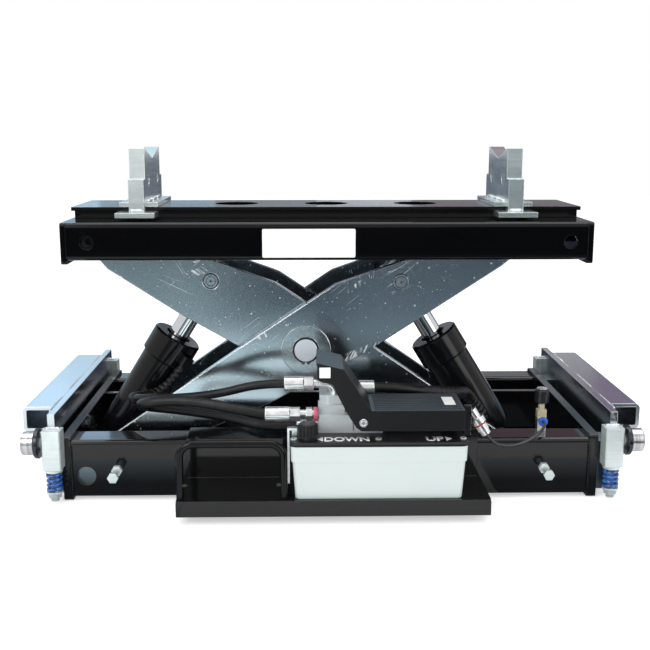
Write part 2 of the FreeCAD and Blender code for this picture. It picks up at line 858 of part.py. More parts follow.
def build_upper_frame():
    beam = upper_beam()
    end = upper_end()
    keep("upper_beams", beam, flipped(beam, scissor_y))
    lug = upper_lug()
    keep("upper_end_plates", end, mirrored(end, upper_set), lug, flipped(lug, scissor_y))
    keep("upper_pivot_shaft", upper_pivot_shaft())
    keep("top_rail", top_rail())
    pad = lift_pad()
    for piece in pad:
        piece.translate(vec(-left_pad_out, 0, 0))
    keep("left_pad", *pad)
    keep("right_pad", *[mirrored(piece) for piece in lift_pad()])


# Telescoping carriages, drawn for the right side

def side_channel():
    """Channel that opens towards the carriage plate."""
    x = (plate_inner_x + plate_thickness, plate_inner_x + plate_thickness + channel_width)
    y = (channel_inset, frame_depth - channel_inset)
    body = block(x, y, (channel_bottom, plate_top))
    outer = [e for e in edges_along(body, vec(0, 1, 0)) if e.BoundBox.XMin > x[1] - over]
    body = body.makeFillet(channel_corner, outer)
    inner = block((x[0] - over, x[1] - channel_wall), (y[0] - over, y[1] + over),
                  (channel_bottom + channel_wall, plate_top - channel_wall))
    corner = [e for e in edges_along(inner, vec(0, 1, 0)) if e.BoundBox.XMin > x[1] - channel_wall - over]
    inner = inner.makeFillet(channel_corner - channel_wall, corner)
    return body.cut(inner)


def carriage_plate():
    """Long thick plate: its upper part sits on the roller blocks at both ends."""
    ends = (-plate_overhang, frame_depth + plate_overhang)
    upper = block((plate_inner_x, plate_inner_x + plate_thickness), ends, (block_top, plate_top))
    lower = block((plate_inner_x, plate_inner_x + plate_thickness),
                  (plate_step, frame_depth - plate_step), (plate_bottom, block_top))
    return upper.fuse(lower).removeSplitter()


def slide_bar(y):
    """Tube that telescopes inside a beam."""
    gap = beam_wall + window_clearance
    y0, y1 = y + gap, y + beam_depth - gap
    z0, z1 = beam_bottom + gap, beam_top - gap
    x = (plate_inner_x - bar_length, plate_inner_x)
    tube = block(x, (y0, y1), (z0, z1))
    inner = block((x[0] - over, x[1] + over), (y0 + bar_wall, y1 - bar_wall), (z0 + bar_wall, z1 - bar_wall))
    return tube.cut(inner)


def roller_block():
    """Front block with a bore for the stud and a slot for the axle, and the spring seat below."""
    y = (plate_step - block_depth, plate_step)
    mid_x = block_inner_x + block_length / 2
    mid_y = stud_inset
    body = block((block_inner_x, block_inner_x + block_length), y, (block_bottom, block_top))
    front = [e for e in edges_along(body, vec(0, 0, 1)) if e.BoundBox.YMax < y[0] + over]
    body = body.makeChamfer(block_edge, front)
    bore = upright_at(mid_x, mid_y, block_bottom - over, axle_z, stud_radius + slot_clearance)
    half = axle_radius + slot_clearance
    slot = block((mid_x - stud_radius - over, block_inner_x + block_length + over),
                 (mid_y - half, mid_y + half),
                 (axle_z - half, axle_z + half + roller_lift))
    seat = upright_at(mid_x, mid_y, block_bottom - seat_thickness, block_bottom, seat_radius)
    seat = seat.cut(upright_at(mid_x, mid_y, block_bottom - seat_thickness - over, block_bottom + over,
                               stud_radius + slot_clearance))
    return [body.cut(bore).cut(slot), seat]


def upright_at(x, y, z_from, z_to, radius):
    return bar(vec(x, y, z_from), vec(0, 0, 1), z_to - z_from, radius)


def roller_stud():
    """Stud with the roller's axle across its top, and the washer and nut that hold the spring."""
    mid_x = block_inner_x + block_length / 2
    mid_y = stud_inset
    washer_z = stud_bottom + nut_rise + nut_height
    stem = upright_at(mid_x, mid_y, stud_bottom, axle_z, stud_radius)
    axle = bar(vec(mid_x - stud_radius, mid_y, axle_z), vec(1, 0, 0),
               flange_start_x + flange_width + tread_width + over - mid_x + stud_radius, axle_radius)
    nut = hex_prism(vec(mid_x, mid_y, washer_z - nut_height), vec(0, 0, 1), nut_height, nut_radius)
    hole = upright_at(mid_x, mid_y, 0, axle_z - axle_radius, stud_radius + pin_clearance)
    washer = upright_at(mid_x, mid_y, washer_z, washer_z + washer_thickness, washer_radius)
    return [stem.fuse(axle), nut.cut(hole), washer.cut(hole)]


def rail_roller():
    """Small roller with a flange on the inner side."""
    mid_y = stud_inset
    start = vec(flange_start_x, mid_y, axle_z)
    flange = bar(start, vec(1, 0, 0), flange_width, flange_radius)
    flange = flange.makeChamfer(block_edge, [e for e in flange.Edges if e.BoundBox.XLength < arm_edge / 2])
    tread = bar(start, vec(1, 0, 0), flange_width + tread_width, tread_radius)
    rims = [e for e in tread.Edges if e.BoundBox.XMin > flange_start_x + over]
    tread = tread.makeChamfer(block_edge, rims)
    bore = bar(start - vec(over, 0, 0), vec(1, 0, 0), flange_width + tread_width + over * 2,
               axle_radius + pin_clearance)
    return flange.fuse(tread).cut(bore)


def biarc(p0, t0, p1, t1):
    """Two arcs that join two points along their directions."""
    run = p1 - p0
    both = t0 + t1
    a = 2 * (1 - t0.dot(t1))
    b = run.dot(both)
    reach = (-b + math.sqrt(b * b + a * run.dot(run))) / a
    middle = (p0 + t0 * reach + p1 - t1 * reach) * 0.5
    return [arc_between(p0, p0 + t0 * reach, middle), arc_between(middle, p1 - t1 * reach, p1)]


def arc_between(start, apex, end):
    """Arc that touches both sides of the corner at its apex."""
    chord = (start + end) * 0.5
    rise = apex - chord
    half = (end - start).Length / 2
    slope = math.atan2(rise.Length, half)
    bulge = half * math.tan(slope / 2)
    return Part.Arc(start, chord + rise.normalize() * bulge, end).toShape()


def coil_spring():
    """Compression spring round the stud, as one unbroken wire."""
    mid_x = block_inner_x + block_length / 2
    mid_y = stud_inset
    low = stud_bottom + nut_rise + nut_height + washer_thickness + spring_wire + side_clearance
    high = block_bottom - seat_thickness - spring_wire - side_clearance
    quarters = int(round(spring_turns * 4))
    rise = (high - low) / quarters

    def place(i):
        turn = math.pi / 2 * i
        return vec(mid_x + spring_radius * math.cos(turn), mid_y + spring_radius * math.sin(turn),
                   low + rise * i)

    def way(i):
        turn = math.pi / 2 * i
        across = spring_radius * math.pi / 2
        run = vec(-math.sin(turn) * across, math.cos(turn) * across, rise)
        return run.normalize()

    edges = []
    for i in range(quarters):
        edges.extend(biarc(place(i), way(i), place(i + 1), way(i + 1)))
    path = Part.Wire(edges)
    profile = Part.Wire(Part.Circle(place(0), way(0), spring_wire).toShape())
    gap = rise * 4 - spring_wire * 2
    print("spring", round(path.Length, 1), "mm of wire, least gap", round(gap, 2), "mm")
    return path.makePipeShell([profile], True, False)


def build_carriages():
    plate = carriage_plate()
    channel = side_channel()
    bars = [slide_bar(0), slide_bar(rear_beam_y)]
    middle = frame_depth / 2
    blocks = roller_block()
    blocks.extend([flipped(piece, middle) for piece in roller_block()])
    for side in ("right", "left"):

        def place(shape):
            return shape if side == "right" else mirrored(shape, left_carriage_in / 2)

        keep(side + "_carriage_plate", place(plate))
        keep(side + "_channel", place(channel))
        keep(side + "_slide_bars", *[place(piece) for piece in bars])
        keep(side + "_roller_blocks", *[place(piece) for piece in blocks])
    stud = roller_stud()
    roller = rail_roller()
    spring = coil_spring()
    for end in ("front", "rear"):
        for side in ("right", "left"):
            name = end + "_" + side

            def place(shape):
                if end == "rear":
                    shape = flipped(shape, middle)
                return shape if side == "right" else mirrored(shape, left_carriage_in / 2)

            keep(name + "_stud", *[place(piece) for piece in stud])
            keep(name + "_roller", place(roller))
            keep(name + "_spring", place(spring))


# Pump tray, guard and foot pump

def pump_tray():
    """Bent sheet: hook over the beam, back, floor and a deep front lip, with end gussets."""
    top = beam_top + tray_sheet
    hook_x = (tray_hook_left_x, tray_hook_right_x)
    hook = block(hook_x, (-tray_sheet, beam_depth), (beam_top, top))
    back = block(hook_x, (-tray_sheet, 0), (tray_floor_z, top))
    floor = block((tray_left_x, tray_right_x), (-tray_depth, 0), (tray_floor_z, tray_floor_z + tray_sheet))
    lip = block((tray_left_x, tray_right_x), (-tray_depth - tray_sheet, -tray_depth),
                (tray_floor_z - tray_lip + tray_sheet, tray_floor_z + tray_sheet))
    uppers = [e for e in edges_along(lip, vec(0, 1, 0)) if e.BoundBox.ZMin > tray_floor_z]
    lip = lip.makeFillet(tray_sheet, uppers)
    lip = lip.fuse(floor)
    drop = tray_floor_z - tray_lip + tray_sheet
    reach = -tray_depth * gusset_share
    sides = []
    for x in (tray_left_x, tray_right_x - tray_sheet):
        loop = [vec(x, -tray_depth, tray_floor_z), vec(x, 0, tray_floor_z), vec(x, 0, drop + tray_sheet),
                vec(x, reach, drop), vec(x, -tray_depth, drop)]
        sides.append(Part.Face(Part.makePolygon(loop + loop[:1])).extrude(vec(tray_sheet, 0, 0)))
    return lip.fuse([hook, back] + sides).removeSplitter()


def guard_bar():
    """Round bar bent into an upside down U that stands on the tray."""
    left = tray_left_x + guard_radius
    right = guard_right_x
    foot = tray_floor_z + tray_sheet
    top = guard_top
    r = guard_bend
    c = r * math.cos(math.pi / 4)
    pieces = [
        Part.LineSegment(vec(left, guard_y, foot), vec(left, guard_y, top - r)),
        Part.Arc(vec(left, guard_y, top - r), vec(left + r - c, guard_y, top - r + c),
                 vec(left + r, guard_y, top)),
        Part.LineSegment(vec(left + r, guard_y, top), vec(right - r, guard_y, top)),
        Part.Arc(vec(right - r, guard_y, top), vec(right - r + c, guard_y, top - r + c),
                 vec(right, guard_y, top - r)),
        Part.LineSegment(vec(right, guard_y, top - r), vec(right, guard_y, foot)),
    ]
    path = Part.Wire([piece.toShape() for piece in pieces])
    profile = Part.Wire(Part.Circle(vec(left, guard_y, foot), vec(0, 0, 1), guard_radius).toShape())
    return path.makePipeShell([profile], True, False)


def round_loop(x, y, z, radius):
    """Rectangle with round corners in a level plane."""
    c = radius * (1 - math.cos(math.pi / 4))
    x0, x1 = x
    y0, y1 = y
    r = radius
    corners = [
        (vec(x1 - r, y0, z), vec(x1 - c, y0 + c, z), vec(x1, y0 + r, z)),
        (vec(x1, y1 - r, z), vec(x1 - c, y1 - c, z), vec(x1 - r, y1, z)),
        (vec(x0 + r, y1, z), vec(x0 + c, y1 - c, z), vec(x0, y1 - r, z)),
        (vec(x0, y0 + r, z), vec(x0 + c, y0 + c, z), vec(x0 + r, y0, z)),
    ]
    edges = []
    for i, corner in enumerate(corners):
        edges.append(Part.Arc(*corner).toShape())
        edges.append(Part.LineSegment(corner[2], corners[(i + 1) % 4][0]).toShape())
    return Part.Wire(edges)


def tank():
    """Moulded tank, narrower at its foot, with a thicker rim under the lid."""
    rim_z = tank_top - tank_lip_height
    foot = round_loop((tank_left_x + tank_taper, tank_right_x - tank_taper),
                      (tank_front_y + tank_taper / 2, tank_back_y), tank_bottom, tank_corner)
    body_top = round_loop((tank_left_x + tank_lip, tank_right_x - tank_lip),
                          (tank_front_y + tank_lip, tank_back_y), rim_z, tank_corner)
    rim_low = round_loop((tank_left_x, tank_right_x), (tank_front_y, tank_back_y), rim_z, tank_corner)
    body = Part.makeLoft([foot, body_top], True)
    rim = Part.Face(rim_low).extrude(vec(0, 0, tank_lip_height))
    shell = body.fuse(rim)
    inset = tank_wall + tank_taper
    hollow = Part.Face(round_loop((tank_left_x + inset, tank_right_x - inset),
                                  (tank_front_y + inset, tank_back_y - tank_wall),
                                  tank_bottom + tank_wall, tank_corner / 2))
    return shell.cut(hollow.extrude(vec(0, 0, tank_height)))


def lid_x():
    return (tank_left_x - lid_overhang, tank_right_x + lid_overhang)


def pump_lid():
    y = (tank_front_y - lid_overhang, lid_back())
    lid = Part.Face(round_loop(lid_x(), y, tank_top, lid_corner)).extrude(vec(0, 0, lid_thickness))
    top = [e for e in lid.Edges if e.BoundBox.ZMin > lid_top - over]
    return lid.makeChamfer(treadle_edge, top)


def lid_screws():
    """Domed lid screws with a cross slot."""
    solids = []
    low, high = lid_x()
    front = tank_front_y - lid_overhang + screw_inset
    for x in (low + screw_side, (low + high) / 2, high - screw_side):
        head = upright_at(x, front, lid_top, lid_top + screw_height, screw_radius)
        for way in ((screw_radius * 0.7, screw_height / 4), (screw_height / 4, screw_radius * 0.7)):
            head = head.cut(block((x - way[0], x + way[0]), (front - way[1], front + way[1]),
                                  (lid_top + screw_height / 2, lid_top + screw_height * 2)))
        solids.append(head)
    return solids


def filler_cap():
    """Round cap with grip flutes."""
    cap = upright_at(cap_x, cap_y, lid_top, lid_top + cap_height, cap_radius)
    top = [e for e in cap.Edges if e.BoundBox.ZMin > lid_top + cap_height - over]
    cap = cap.makeFillet(treadle_edge, top)
    for i in range(cap_grips):
        turn = 2 * math.pi * i / cap_grips
        x = cap_x + cap_radius * math.cos(turn)
        y = cap_y + cap_radius * math.sin(turn)
        cap = cap.cut(upright_at(x, y, lid_top + cap_height / 4, lid_top + cap_height + over, cap_grip))
    return cap


def treadle_profile(inset):
    """Side outline of the rocking treadle, drawn in by a wall."""
    deck = treadle_deck
    left = (treadle_left_x, deck + treadle_left_rise)
    knee = (treadle_knee_x, deck + treadle_knee_rise)
    bend = (treadle_pivot_x + treadle_pin_radius * 2, deck)
    skirt = deck - treadle_skirt
    top = [left, knee, bend, (treadle_right_x, deck)]
    if inset:
        top = [(left[0] - over, left[1] - inset), (knee[0] - inset / 2, knee[1] - inset),
               (bend[0] - inset / 2, deck - inset), (treadle_right_x - inset, deck - inset)]
        low = [(treadle_right_x - inset, skirt - over * 3), (treadle_left_x - over, skirt - over * 3)]
        return top + low
    run_x = treadle_pivot_x - treadle_left_x
    run_z = treadle_left_rise + treadle_skirt
    shares = ((0.96, 0.0), (0.85, 0.05), (0.7, 0.205), (0.62, 0.3), (0.405, 0.58), (0.35, 0.68), (0.0, 0.75))
    low = [(treadle_right_x, skirt)]
    for x_share, z_share in shares:
        low.append((treadle_left_x + run_x * x_share, skirt + run_z * z_share))
    return top + low


def treadle():
    """Rocking treadle: a folded cover with ribs across its two decks."""
    y0 = treadle_front_y
    y1 = y0 + treadle_width
    shell = face_of(treadle_profile(0), y0).extrude(vec(0, treadle_width, 0))
    inner = face_of(treadle_profile(treadle_wall), y0 + treadle_wall)
    shell = shell.cut(inner.extrude(vec(0, treadle_width - treadle_wall * 2, 0)))
    start = treadle_pivot_x + treadle_pin_radius * 3
    pitch = treadle_width / (tread_ribs + 1)
    for i in range(tread_ribs):
        y = y0 + pitch * (i + 1) - tread_rib_width / 2
        rib = block((start, treadle_right_x - treadle_wall), (y, y + tread_rib_width),
                    (treadle_deck - over / 2, treadle_deck + tread_rib))
        shell = shell.fuse(rib)
    hole = cross_bar(treadle_pivot_x, treadle_pivot_z, y0 - over, y1 + over,
                     treadle_pin_radius + pin_clearance)
    return shell.removeSplitter().cut(hole)


def treadle_pin():
    return cross_bar(treadle_pivot_x, treadle_pivot_z, treadle_front_y - shaft_nib,
                     treadle_front_y + treadle_width + shaft_nib, treadle_pin_radius)


def pump_block():
    """Cast block with a set back step, its base plate and the ears that carry the treadle's pin."""
    y = (pump_block_front_y, pump_block_front_y + pump_block_depth)
    left = pump_block_left_x
    base_top = lid_top + pump_base_thickness
    base = block((left, pump_base_right_x), y, (lid_top, base_top))
    low = block((left, pump_block_right_x), y, (lid_top, lid_top + pump_step_height))
    low = rounded(low, vec(0, 0, 1), treadle_edge)
    step_y = (y[0] + pump_step_setback, y[1])
    high = block((left, left + pump_step_width), step_y,
                 (lid_top + pump_step_height - over, lid_top + pump_step_top))
    post = block((treadle_pivot_x - ear_half, treadle_pivot_x + ear_half), y,
                 (lid_top, treadle_pivot_z + ear_rise))
    body = base.fuse([low, high, post, right_arm(y[1])]).removeSplitter()
    body = body.fuse(outlet_column(y[1]))
    return body.cut(cross_bar(treadle_pivot_x, treadle_pivot_z, y[0] - over, y[1] + over,
                              treadle_pin_radius + pin_clearance))


def air_motor():
    """Round air motor that lies on the base plate under the treadle."""
    y = pump_block_front_y + pump_block_depth / 2
    start = treadle_pivot_x + ear_half
    z = lid_top + pump_base_thickness + motor_radius
    return bar(vec(start, y, z), vec(1, 0, 0), motor_length, motor_radius)


def outlet_column(back):
    """Square column on the step that carries the upper elbow."""
    y = (back - outlet_size - side_clearance * 2, back - side_clearance * 2)
    x = pump_block_left_x + outlet_bend
    z = lid_top + pump_step_top
    column = block((x, x + outlet_size), y, (z - over, z + outlet_height))
    return rounded(column, vec(0, 0, 1), treadle_edge)


def right_arm(back):
    """Arm under the treadle's edge and the elbow behind it."""
    far = treadle_front_y + treadle_width + elbow_gap + elbow_size
    x = (pump_block_left_x + treadle_edge, pump_block_left_x + elbow_size * 1.6)
    z = lid_top + pump_step_top
    arm = block(x, (back - elbow_size, far), (z - over, z + elbow_size * 0.7))
    cube = block((x[0] + elbow_size / 2, x[1] + elbow_size / 4), (far - elbow_size, far),
                 (z + elbow_size / 4, z + elbow_size * 1.25))
    return arm.fuse(cube).removeSplitter()


def treadle_inner_back():
    return treadle_front_y + treadle_width - treadle_wall


def return_elbow():
    """Small block on the back of the lid where the looped hose comes home."""
    y = lid_back()
    return block((0, elbow_size), (y, y + elbow_size * 1.5), (lid_top - elbow_size, lid_top - over))


def lid_back():
    return tank_back_y + tank_wall - side_clearance


def pump_bracket():
    """Thin strap from the tank's left end, folded over on to the lid."""
    x = tank_left_x - lid_overhang
    y = (bracket_y, bracket_y + bracket_width)
    top = lid_top + bracket_rise
    inner = x + bracket_width
    strap = block((x - bracket_thickness, x), y, (tank_bottom + tank_lip_height, top))
    tab = block((x - bracket_thickness, inner), y, (top - bracket_thickness, top))
    plate = block((inner - bracket_plate_width, inner), (y[0], y[0] + bracket_thickness), (lid_top, top))
    return strap.fuse([tab, plate]).removeSplitter()


def build_pump():
    keep("pump_tray", pump_tray())
    keep("guard_bar", guard_bar())
    keep("tank", tank())
    keep("pump_lid", pump_lid())
    keep("lid_screws", *lid_screws())
    keep("filler_cap", filler_cap())
    keep("treadle", treadle())
    keep("treadle_pin", treadle_pin())
    keep("pump_block", pump_block(), return_elbow(), air_motor())
    keep("pump_bracket", pump_bracket())


# Hoses: straight runs joined by arcs that touch both of them

def hose(name, points, radius):
    points = [vec(*p) for p in points]
    runs = [(b - a).Length for a, b in zip(points, points[1:])]
    edges = []
    start = points[0]
    radii = []
    for i in range(1, len(points) - 1):
        into = (points[i] - points[i - 1]).normalize()
        out = (points[i + 1] - points[i]).normalize()
        turn = math.acos(max(-1.0, min(1.0, into.dot(out))))
        reach = 0.45 * min(runs[i - 1], runs[i])
        radii.append(reach / math.tan(turn / 2))
        first = points[i] - into * reach
        last = points[i] + out * reach
        edges.append(Part.LineSegment(start, first).toShape())
        edges.append(arc_between(first, points[i], last))
        start = last
    edges.append(Part.LineSegment(start, points[-1]).toShape())
    path = Part.Wire(edges)
    way = (points[1] - points[0]).normalize()
    profile = Part.Wire(Part.Circle(points[0], way, radius).toShape())
    tube = path.makePipeShell([profile], True, False)
    area = math.pi * radius * radius
    print(name, "length", round(path.Length, 1), "radii", [round(r, 1) for r in radii],
          "volume share", round(tube.Volume / (area * path.Length), 4))
    return tube


def fitting(start, way, ferrule=0.0, extra=0.0):
    """Crimped ferrule, hexagon nut and neck, from the hose end to the port."""
    way = way.normalize()
    ferrule = ferrule or ferrule_length
    sleeve = bar(start, way, ferrule, ferrule_radius)
    rims = [e for e in sleeve.Edges if e.Curve.TypeId == "Part::GeomCircle"]
    sleeve = sleeve.makeChamfer(over, rims)
    place = ferrule
    nut = hex_prism(start + way * place, way, collar_nut_length, collar_nut_radius)
    place += collar_nut_length
    neck = bar(start + way * place, way, neck_length + extra, neck_radius)
    solids = [sleeve, nut, neck]
    if extra:
        second = hex_prism(start + way * (place + extra / 2), way, extra / 2, collar_nut_radius)
        hole = bar(start + way * place, way, extra * 2, neck_radius)
        solids.append(second.cut(hole))
    return solids


def bent_pipe(x_from, y, z, x_down, z_end):
    """Elbow pipe along X that turns down."""
    r = outlet_bend
    c = r * math.cos(math.pi / 4)
    pieces = [
        Part.LineSegment(vec(x_from, y, z), vec(x_down - r, y, z)),
        Part.Arc(vec(x_down - r, y, z), vec(x_down - r + c, y, z - r + c), vec(x_down, y, z - r)),
        Part.LineSegment(vec(x_down, y, z - r), vec(x_down, y, z_end)),
    ]
    path = Part.Wire([piece.toShape() for piece in pieces])
    profile = Part.Wire(Part.Circle(vec(x_from, y, z), vec(1, 0, 0), hose_radius).toShape())
    return path.makePipeShell([profile], True, False)


def leaned_point(along, out, turn):
    """Point beside the left cylinder, from its place along the axis and its way out."""
    tip = Part.Vertex(vec(out * math.cos(math.radians(turn)), out * math.sin(math.radians(turn)), along))
    return lean(tip).Point


def build_hoses():
    fit = ferrule_length + collar_nut_length + neck_length
    back = pump_block_front_y + pump_block_depth
    step_z = lid_top + pump_step_top
    top_x = pump_block_left_x + treadle_edge - fit
    top_y = back - outlet_size / 2 - side_clearance * 2
    top_z = step_z + outlet_height + outlet_bend + treadle_edge
    bend_x = pump_block_left_x + outlet_bend + outlet_size / 2
    mid_x = pump_block_left_x - fit - mid_ferrule_extra - mid_nut_extra
    mid_y = pump_block_front_y + pump_step_setback / 2
    mid_z = lid_top + pump_step_height
    right_x = pump_block_left_x + elbow_size * 1.85 + fit
    right_y = treadle_front_y + treadle_width + elbow_gap + elbow_size / 2
    right_z = step_z + elbow_size * 0.75
    home_y = lid_back() + elbow_size
    home_z = lid_top - elbow_size / 2
    fittings = fitting(vec(top_x, top_y, top_z), vec(1, 0, 0))
    fittings.append(bent_pipe(top_x + fit, top_y, top_z, bend_x, step_z + outlet_height))
    fittings += fitting(vec(mid_x, mid_y, mid_z), vec(1, 0, 0),
                        ferrule_length + mid_ferrule_extra, mid_nut_extra)
    fittings += fitting(vec(right_x, right_y, right_z), vec(-1, 0, 0))
    fittings += fitting(vec(-fit, home_y, home_z), vec(1, 0, 0))
    keep("hose_fittings", *fittings)
    port_out = head_radius + port_size / 2
    entry_place = head_port_place - port_size / 2 - side_clearance
    entry = leaned_point(entry_place, port_out, head_port_turn)
    before = leaned_point(entry_place - port_run, port_out, head_port_turn)
    left = [
        (top_x, top_y, top_z), (-98, top_y, top_z), (-148, -6, 152), (-204, 12, 141),
        (-258, 24, 138), (-284, 68, 126), tuple(before), tuple(entry),
    ]
    keep("left_hose", hose("left_hose", left, hose_radius))
    loop = [
        (mid_x, mid_y, mid_z), (-122, mid_y, mid_z), (-160, -28, 128), (-204, -12, 124),
        (-260, -6, 121), (-260, 50, 115), (-204, 54, 110), (-142, 36, 105), (-92, home_y, home_z),
        (-fit, home_y, home_z),
    ]
    keep("loop_hose", hose("loop_hose", loop, hose_radius))
    port_out = barrel_radius + port_size / 2
    base_place = base_port_place + port_size / 2 + side_clearance
    base = leaned_point(base_place, port_out, base_port_turn)
    above = leaned_point(base_place + port_run, port_out, base_port_turn)
    for point in (base, above):
        point.x = 2 * centre_x - point.x
    right = [
        (right_x, right_y, right_z), (right_x + 34, right_y, right_z), (142, 34, 149),
        (184, 58, 136), tuple(above), tuple(base),
    ]
    keep("right_hose", hose("right_hose", right, hose_radius))
    build_air_line()


def lean_angle():
    x, z = lug_point(True)
    return math.atan2(x - pivot_x, z - pivot_z)


def inlet_post():
    """Post on the lid's right edge that carries the air coupling."""
    x = lid_x()[1]
    return block((x, x + post_width), (post_y - post_width / 2, post_y + post_width / 2),
                 (tank_top, post_top))


def air_valve():
    """Small square valve on the beam with a round knob on a neck and a push-in collar."""
    half = valve_width / 2
    y = beam_depth / 2
    top = beam_top + valve_height
    body = block((valve_x - half, valve_x + half), (y - half, y + half), (beam_top, top))
    body = rounded(body, vec(0, 0, 1), treadle_edge)
    knob_z = top + valve_neck
    knob = upright_at(valve_x, y, knob_z, knob_z + knob_height, knob_radius)
    rims = [e for e in knob.Edges if e.BoundBox.ZLength < arm_edge / 2]
    knob = knob.makeChamfer(arm_edge, rims).fuse(upright_at(valve_x, y, top, knob_z, half * air_neck_share))
    collar = cross_bar(valve_x, beam_top + collar_rise, y - half - air_body_radius, y - half,
                       air_body_radius * air_neck_share)
    return [body, knob, collar]


def build_air_line():
    """Air inlet coupling, the thin line and the valve."""
    way = vec(coupling_run, 0, -coupling_drop)
    length = way.Length
    way.normalize()
    top = vec(lid_x()[1] + post_width, post_y, post_top - air_body_radius * air_neck_share)
    body = bar(top, way, length, air_body_radius * air_body_share)
    collar = bar(top + way * length / 3, way, air_body_radius, air_ring_radius)
    sleeve = bar(top + way * length / 2, way, length / 3, air_body_radius)
    coupling = inlet_post().fuse([body, collar, sleeve]).removeSplitter()
    keep("air_fittings", coupling, *air_valve())
    end = top + way * length
    stop = beam_depth / 2 - valve_width / 2 - air_body_radius
    line_z = beam_top + collar_rise
    line = [
        tuple(end), tuple(end + way * post_width), (220, -40, 88), (242, -36, 86), (262, -29, 91),
        (281, -18, 99), (valve_x, stop - 12, line_z), (valve_x, stop, line_z),
    ]
    keep("air_line", hose("air_line", line, air_radius))


build_lower_frame()
build_scissor()
build_cylinders()
build_upper_frame()
build_carriages()
build_pump()
build_hoses()
print("rest", round(centre_x, 2), round(centre_z, 2), round(far_x, 2), round(high_z, 2))
print("rod pins", lug_point(True), lug_point(False), "lean", round(math.degrees(lean_angle()), 3))
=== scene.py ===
import bmesh
import bpy
import json
import math
import numpy as np
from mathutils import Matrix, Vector


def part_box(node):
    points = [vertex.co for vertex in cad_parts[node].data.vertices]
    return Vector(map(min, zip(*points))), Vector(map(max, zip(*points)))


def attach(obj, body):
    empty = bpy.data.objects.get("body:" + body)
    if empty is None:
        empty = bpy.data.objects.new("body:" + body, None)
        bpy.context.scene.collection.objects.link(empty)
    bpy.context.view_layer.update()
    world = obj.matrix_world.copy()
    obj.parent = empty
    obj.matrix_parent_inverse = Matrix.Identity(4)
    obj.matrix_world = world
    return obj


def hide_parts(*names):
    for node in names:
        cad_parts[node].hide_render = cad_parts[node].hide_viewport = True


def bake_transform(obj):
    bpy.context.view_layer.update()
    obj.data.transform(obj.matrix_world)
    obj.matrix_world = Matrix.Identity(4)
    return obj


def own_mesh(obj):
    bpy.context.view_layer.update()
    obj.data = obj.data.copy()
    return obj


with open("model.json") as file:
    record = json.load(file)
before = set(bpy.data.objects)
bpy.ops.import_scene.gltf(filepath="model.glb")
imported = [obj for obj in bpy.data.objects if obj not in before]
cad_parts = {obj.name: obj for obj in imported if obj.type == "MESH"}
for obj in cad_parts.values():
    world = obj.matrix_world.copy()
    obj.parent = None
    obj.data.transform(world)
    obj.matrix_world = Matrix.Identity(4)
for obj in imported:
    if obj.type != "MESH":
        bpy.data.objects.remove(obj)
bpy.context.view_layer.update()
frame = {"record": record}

# A rolling scissor jack in a white studio. The CAD nodes keep their shape and get their finishes here;
# hoses, springs, welds, lettering and the small fittings are surfaces worked out below.

mm = 0.001
hair = 0.0001                                 # width of a hard border between two colours, in metres
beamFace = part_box("front_beam")[0].y          # the front beam's face, the zero of all depths below
scissorMiddle = sum(c.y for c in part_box("inner_arms")) / 2


def at(x, y, z):
    # millimetres from the jack's middle, the front beam's face and the floor, as metres
    return np.array([x * mm, y * mm + beamFace, z * mm])


def ports(*points):
    return [at(*p) for p in points]


# Camera and light

view = {
    "place": (-34.3, -1295.1, 498.5),
    "pitchDown": 0.1943,
    "yaw": 0.0199,
    "lens": 55.09,
    "sensor": 36.0,
    "clip": (0.05, 60),
}

studio = {
    "worldDim": 0.62,
    "worldCool": 1.02,          # the world's blue is a little stronger
    "floorHalf": 6.0,
    "floorTone": 0.93,
    "floorLift": 0.5,           # light that the camera alone sees on the floor
    "shadeFade": 0.1,           # depth over which a card turns to its near colour
    "aim": (0, 0, 0.22),
    "top": {"place": (0.0, 0.1, 2.1), "size": (2.4, 1.6), "power": 30.0},
    "key": {"place": (-1.5, -1.9, 1.5), "size": (1.2, 1.2), "power": 24.0},
    "fill": {"place": (1.7, -1.6, 0.9), "size": (1.0, 1.4), "power": 12.0},
}

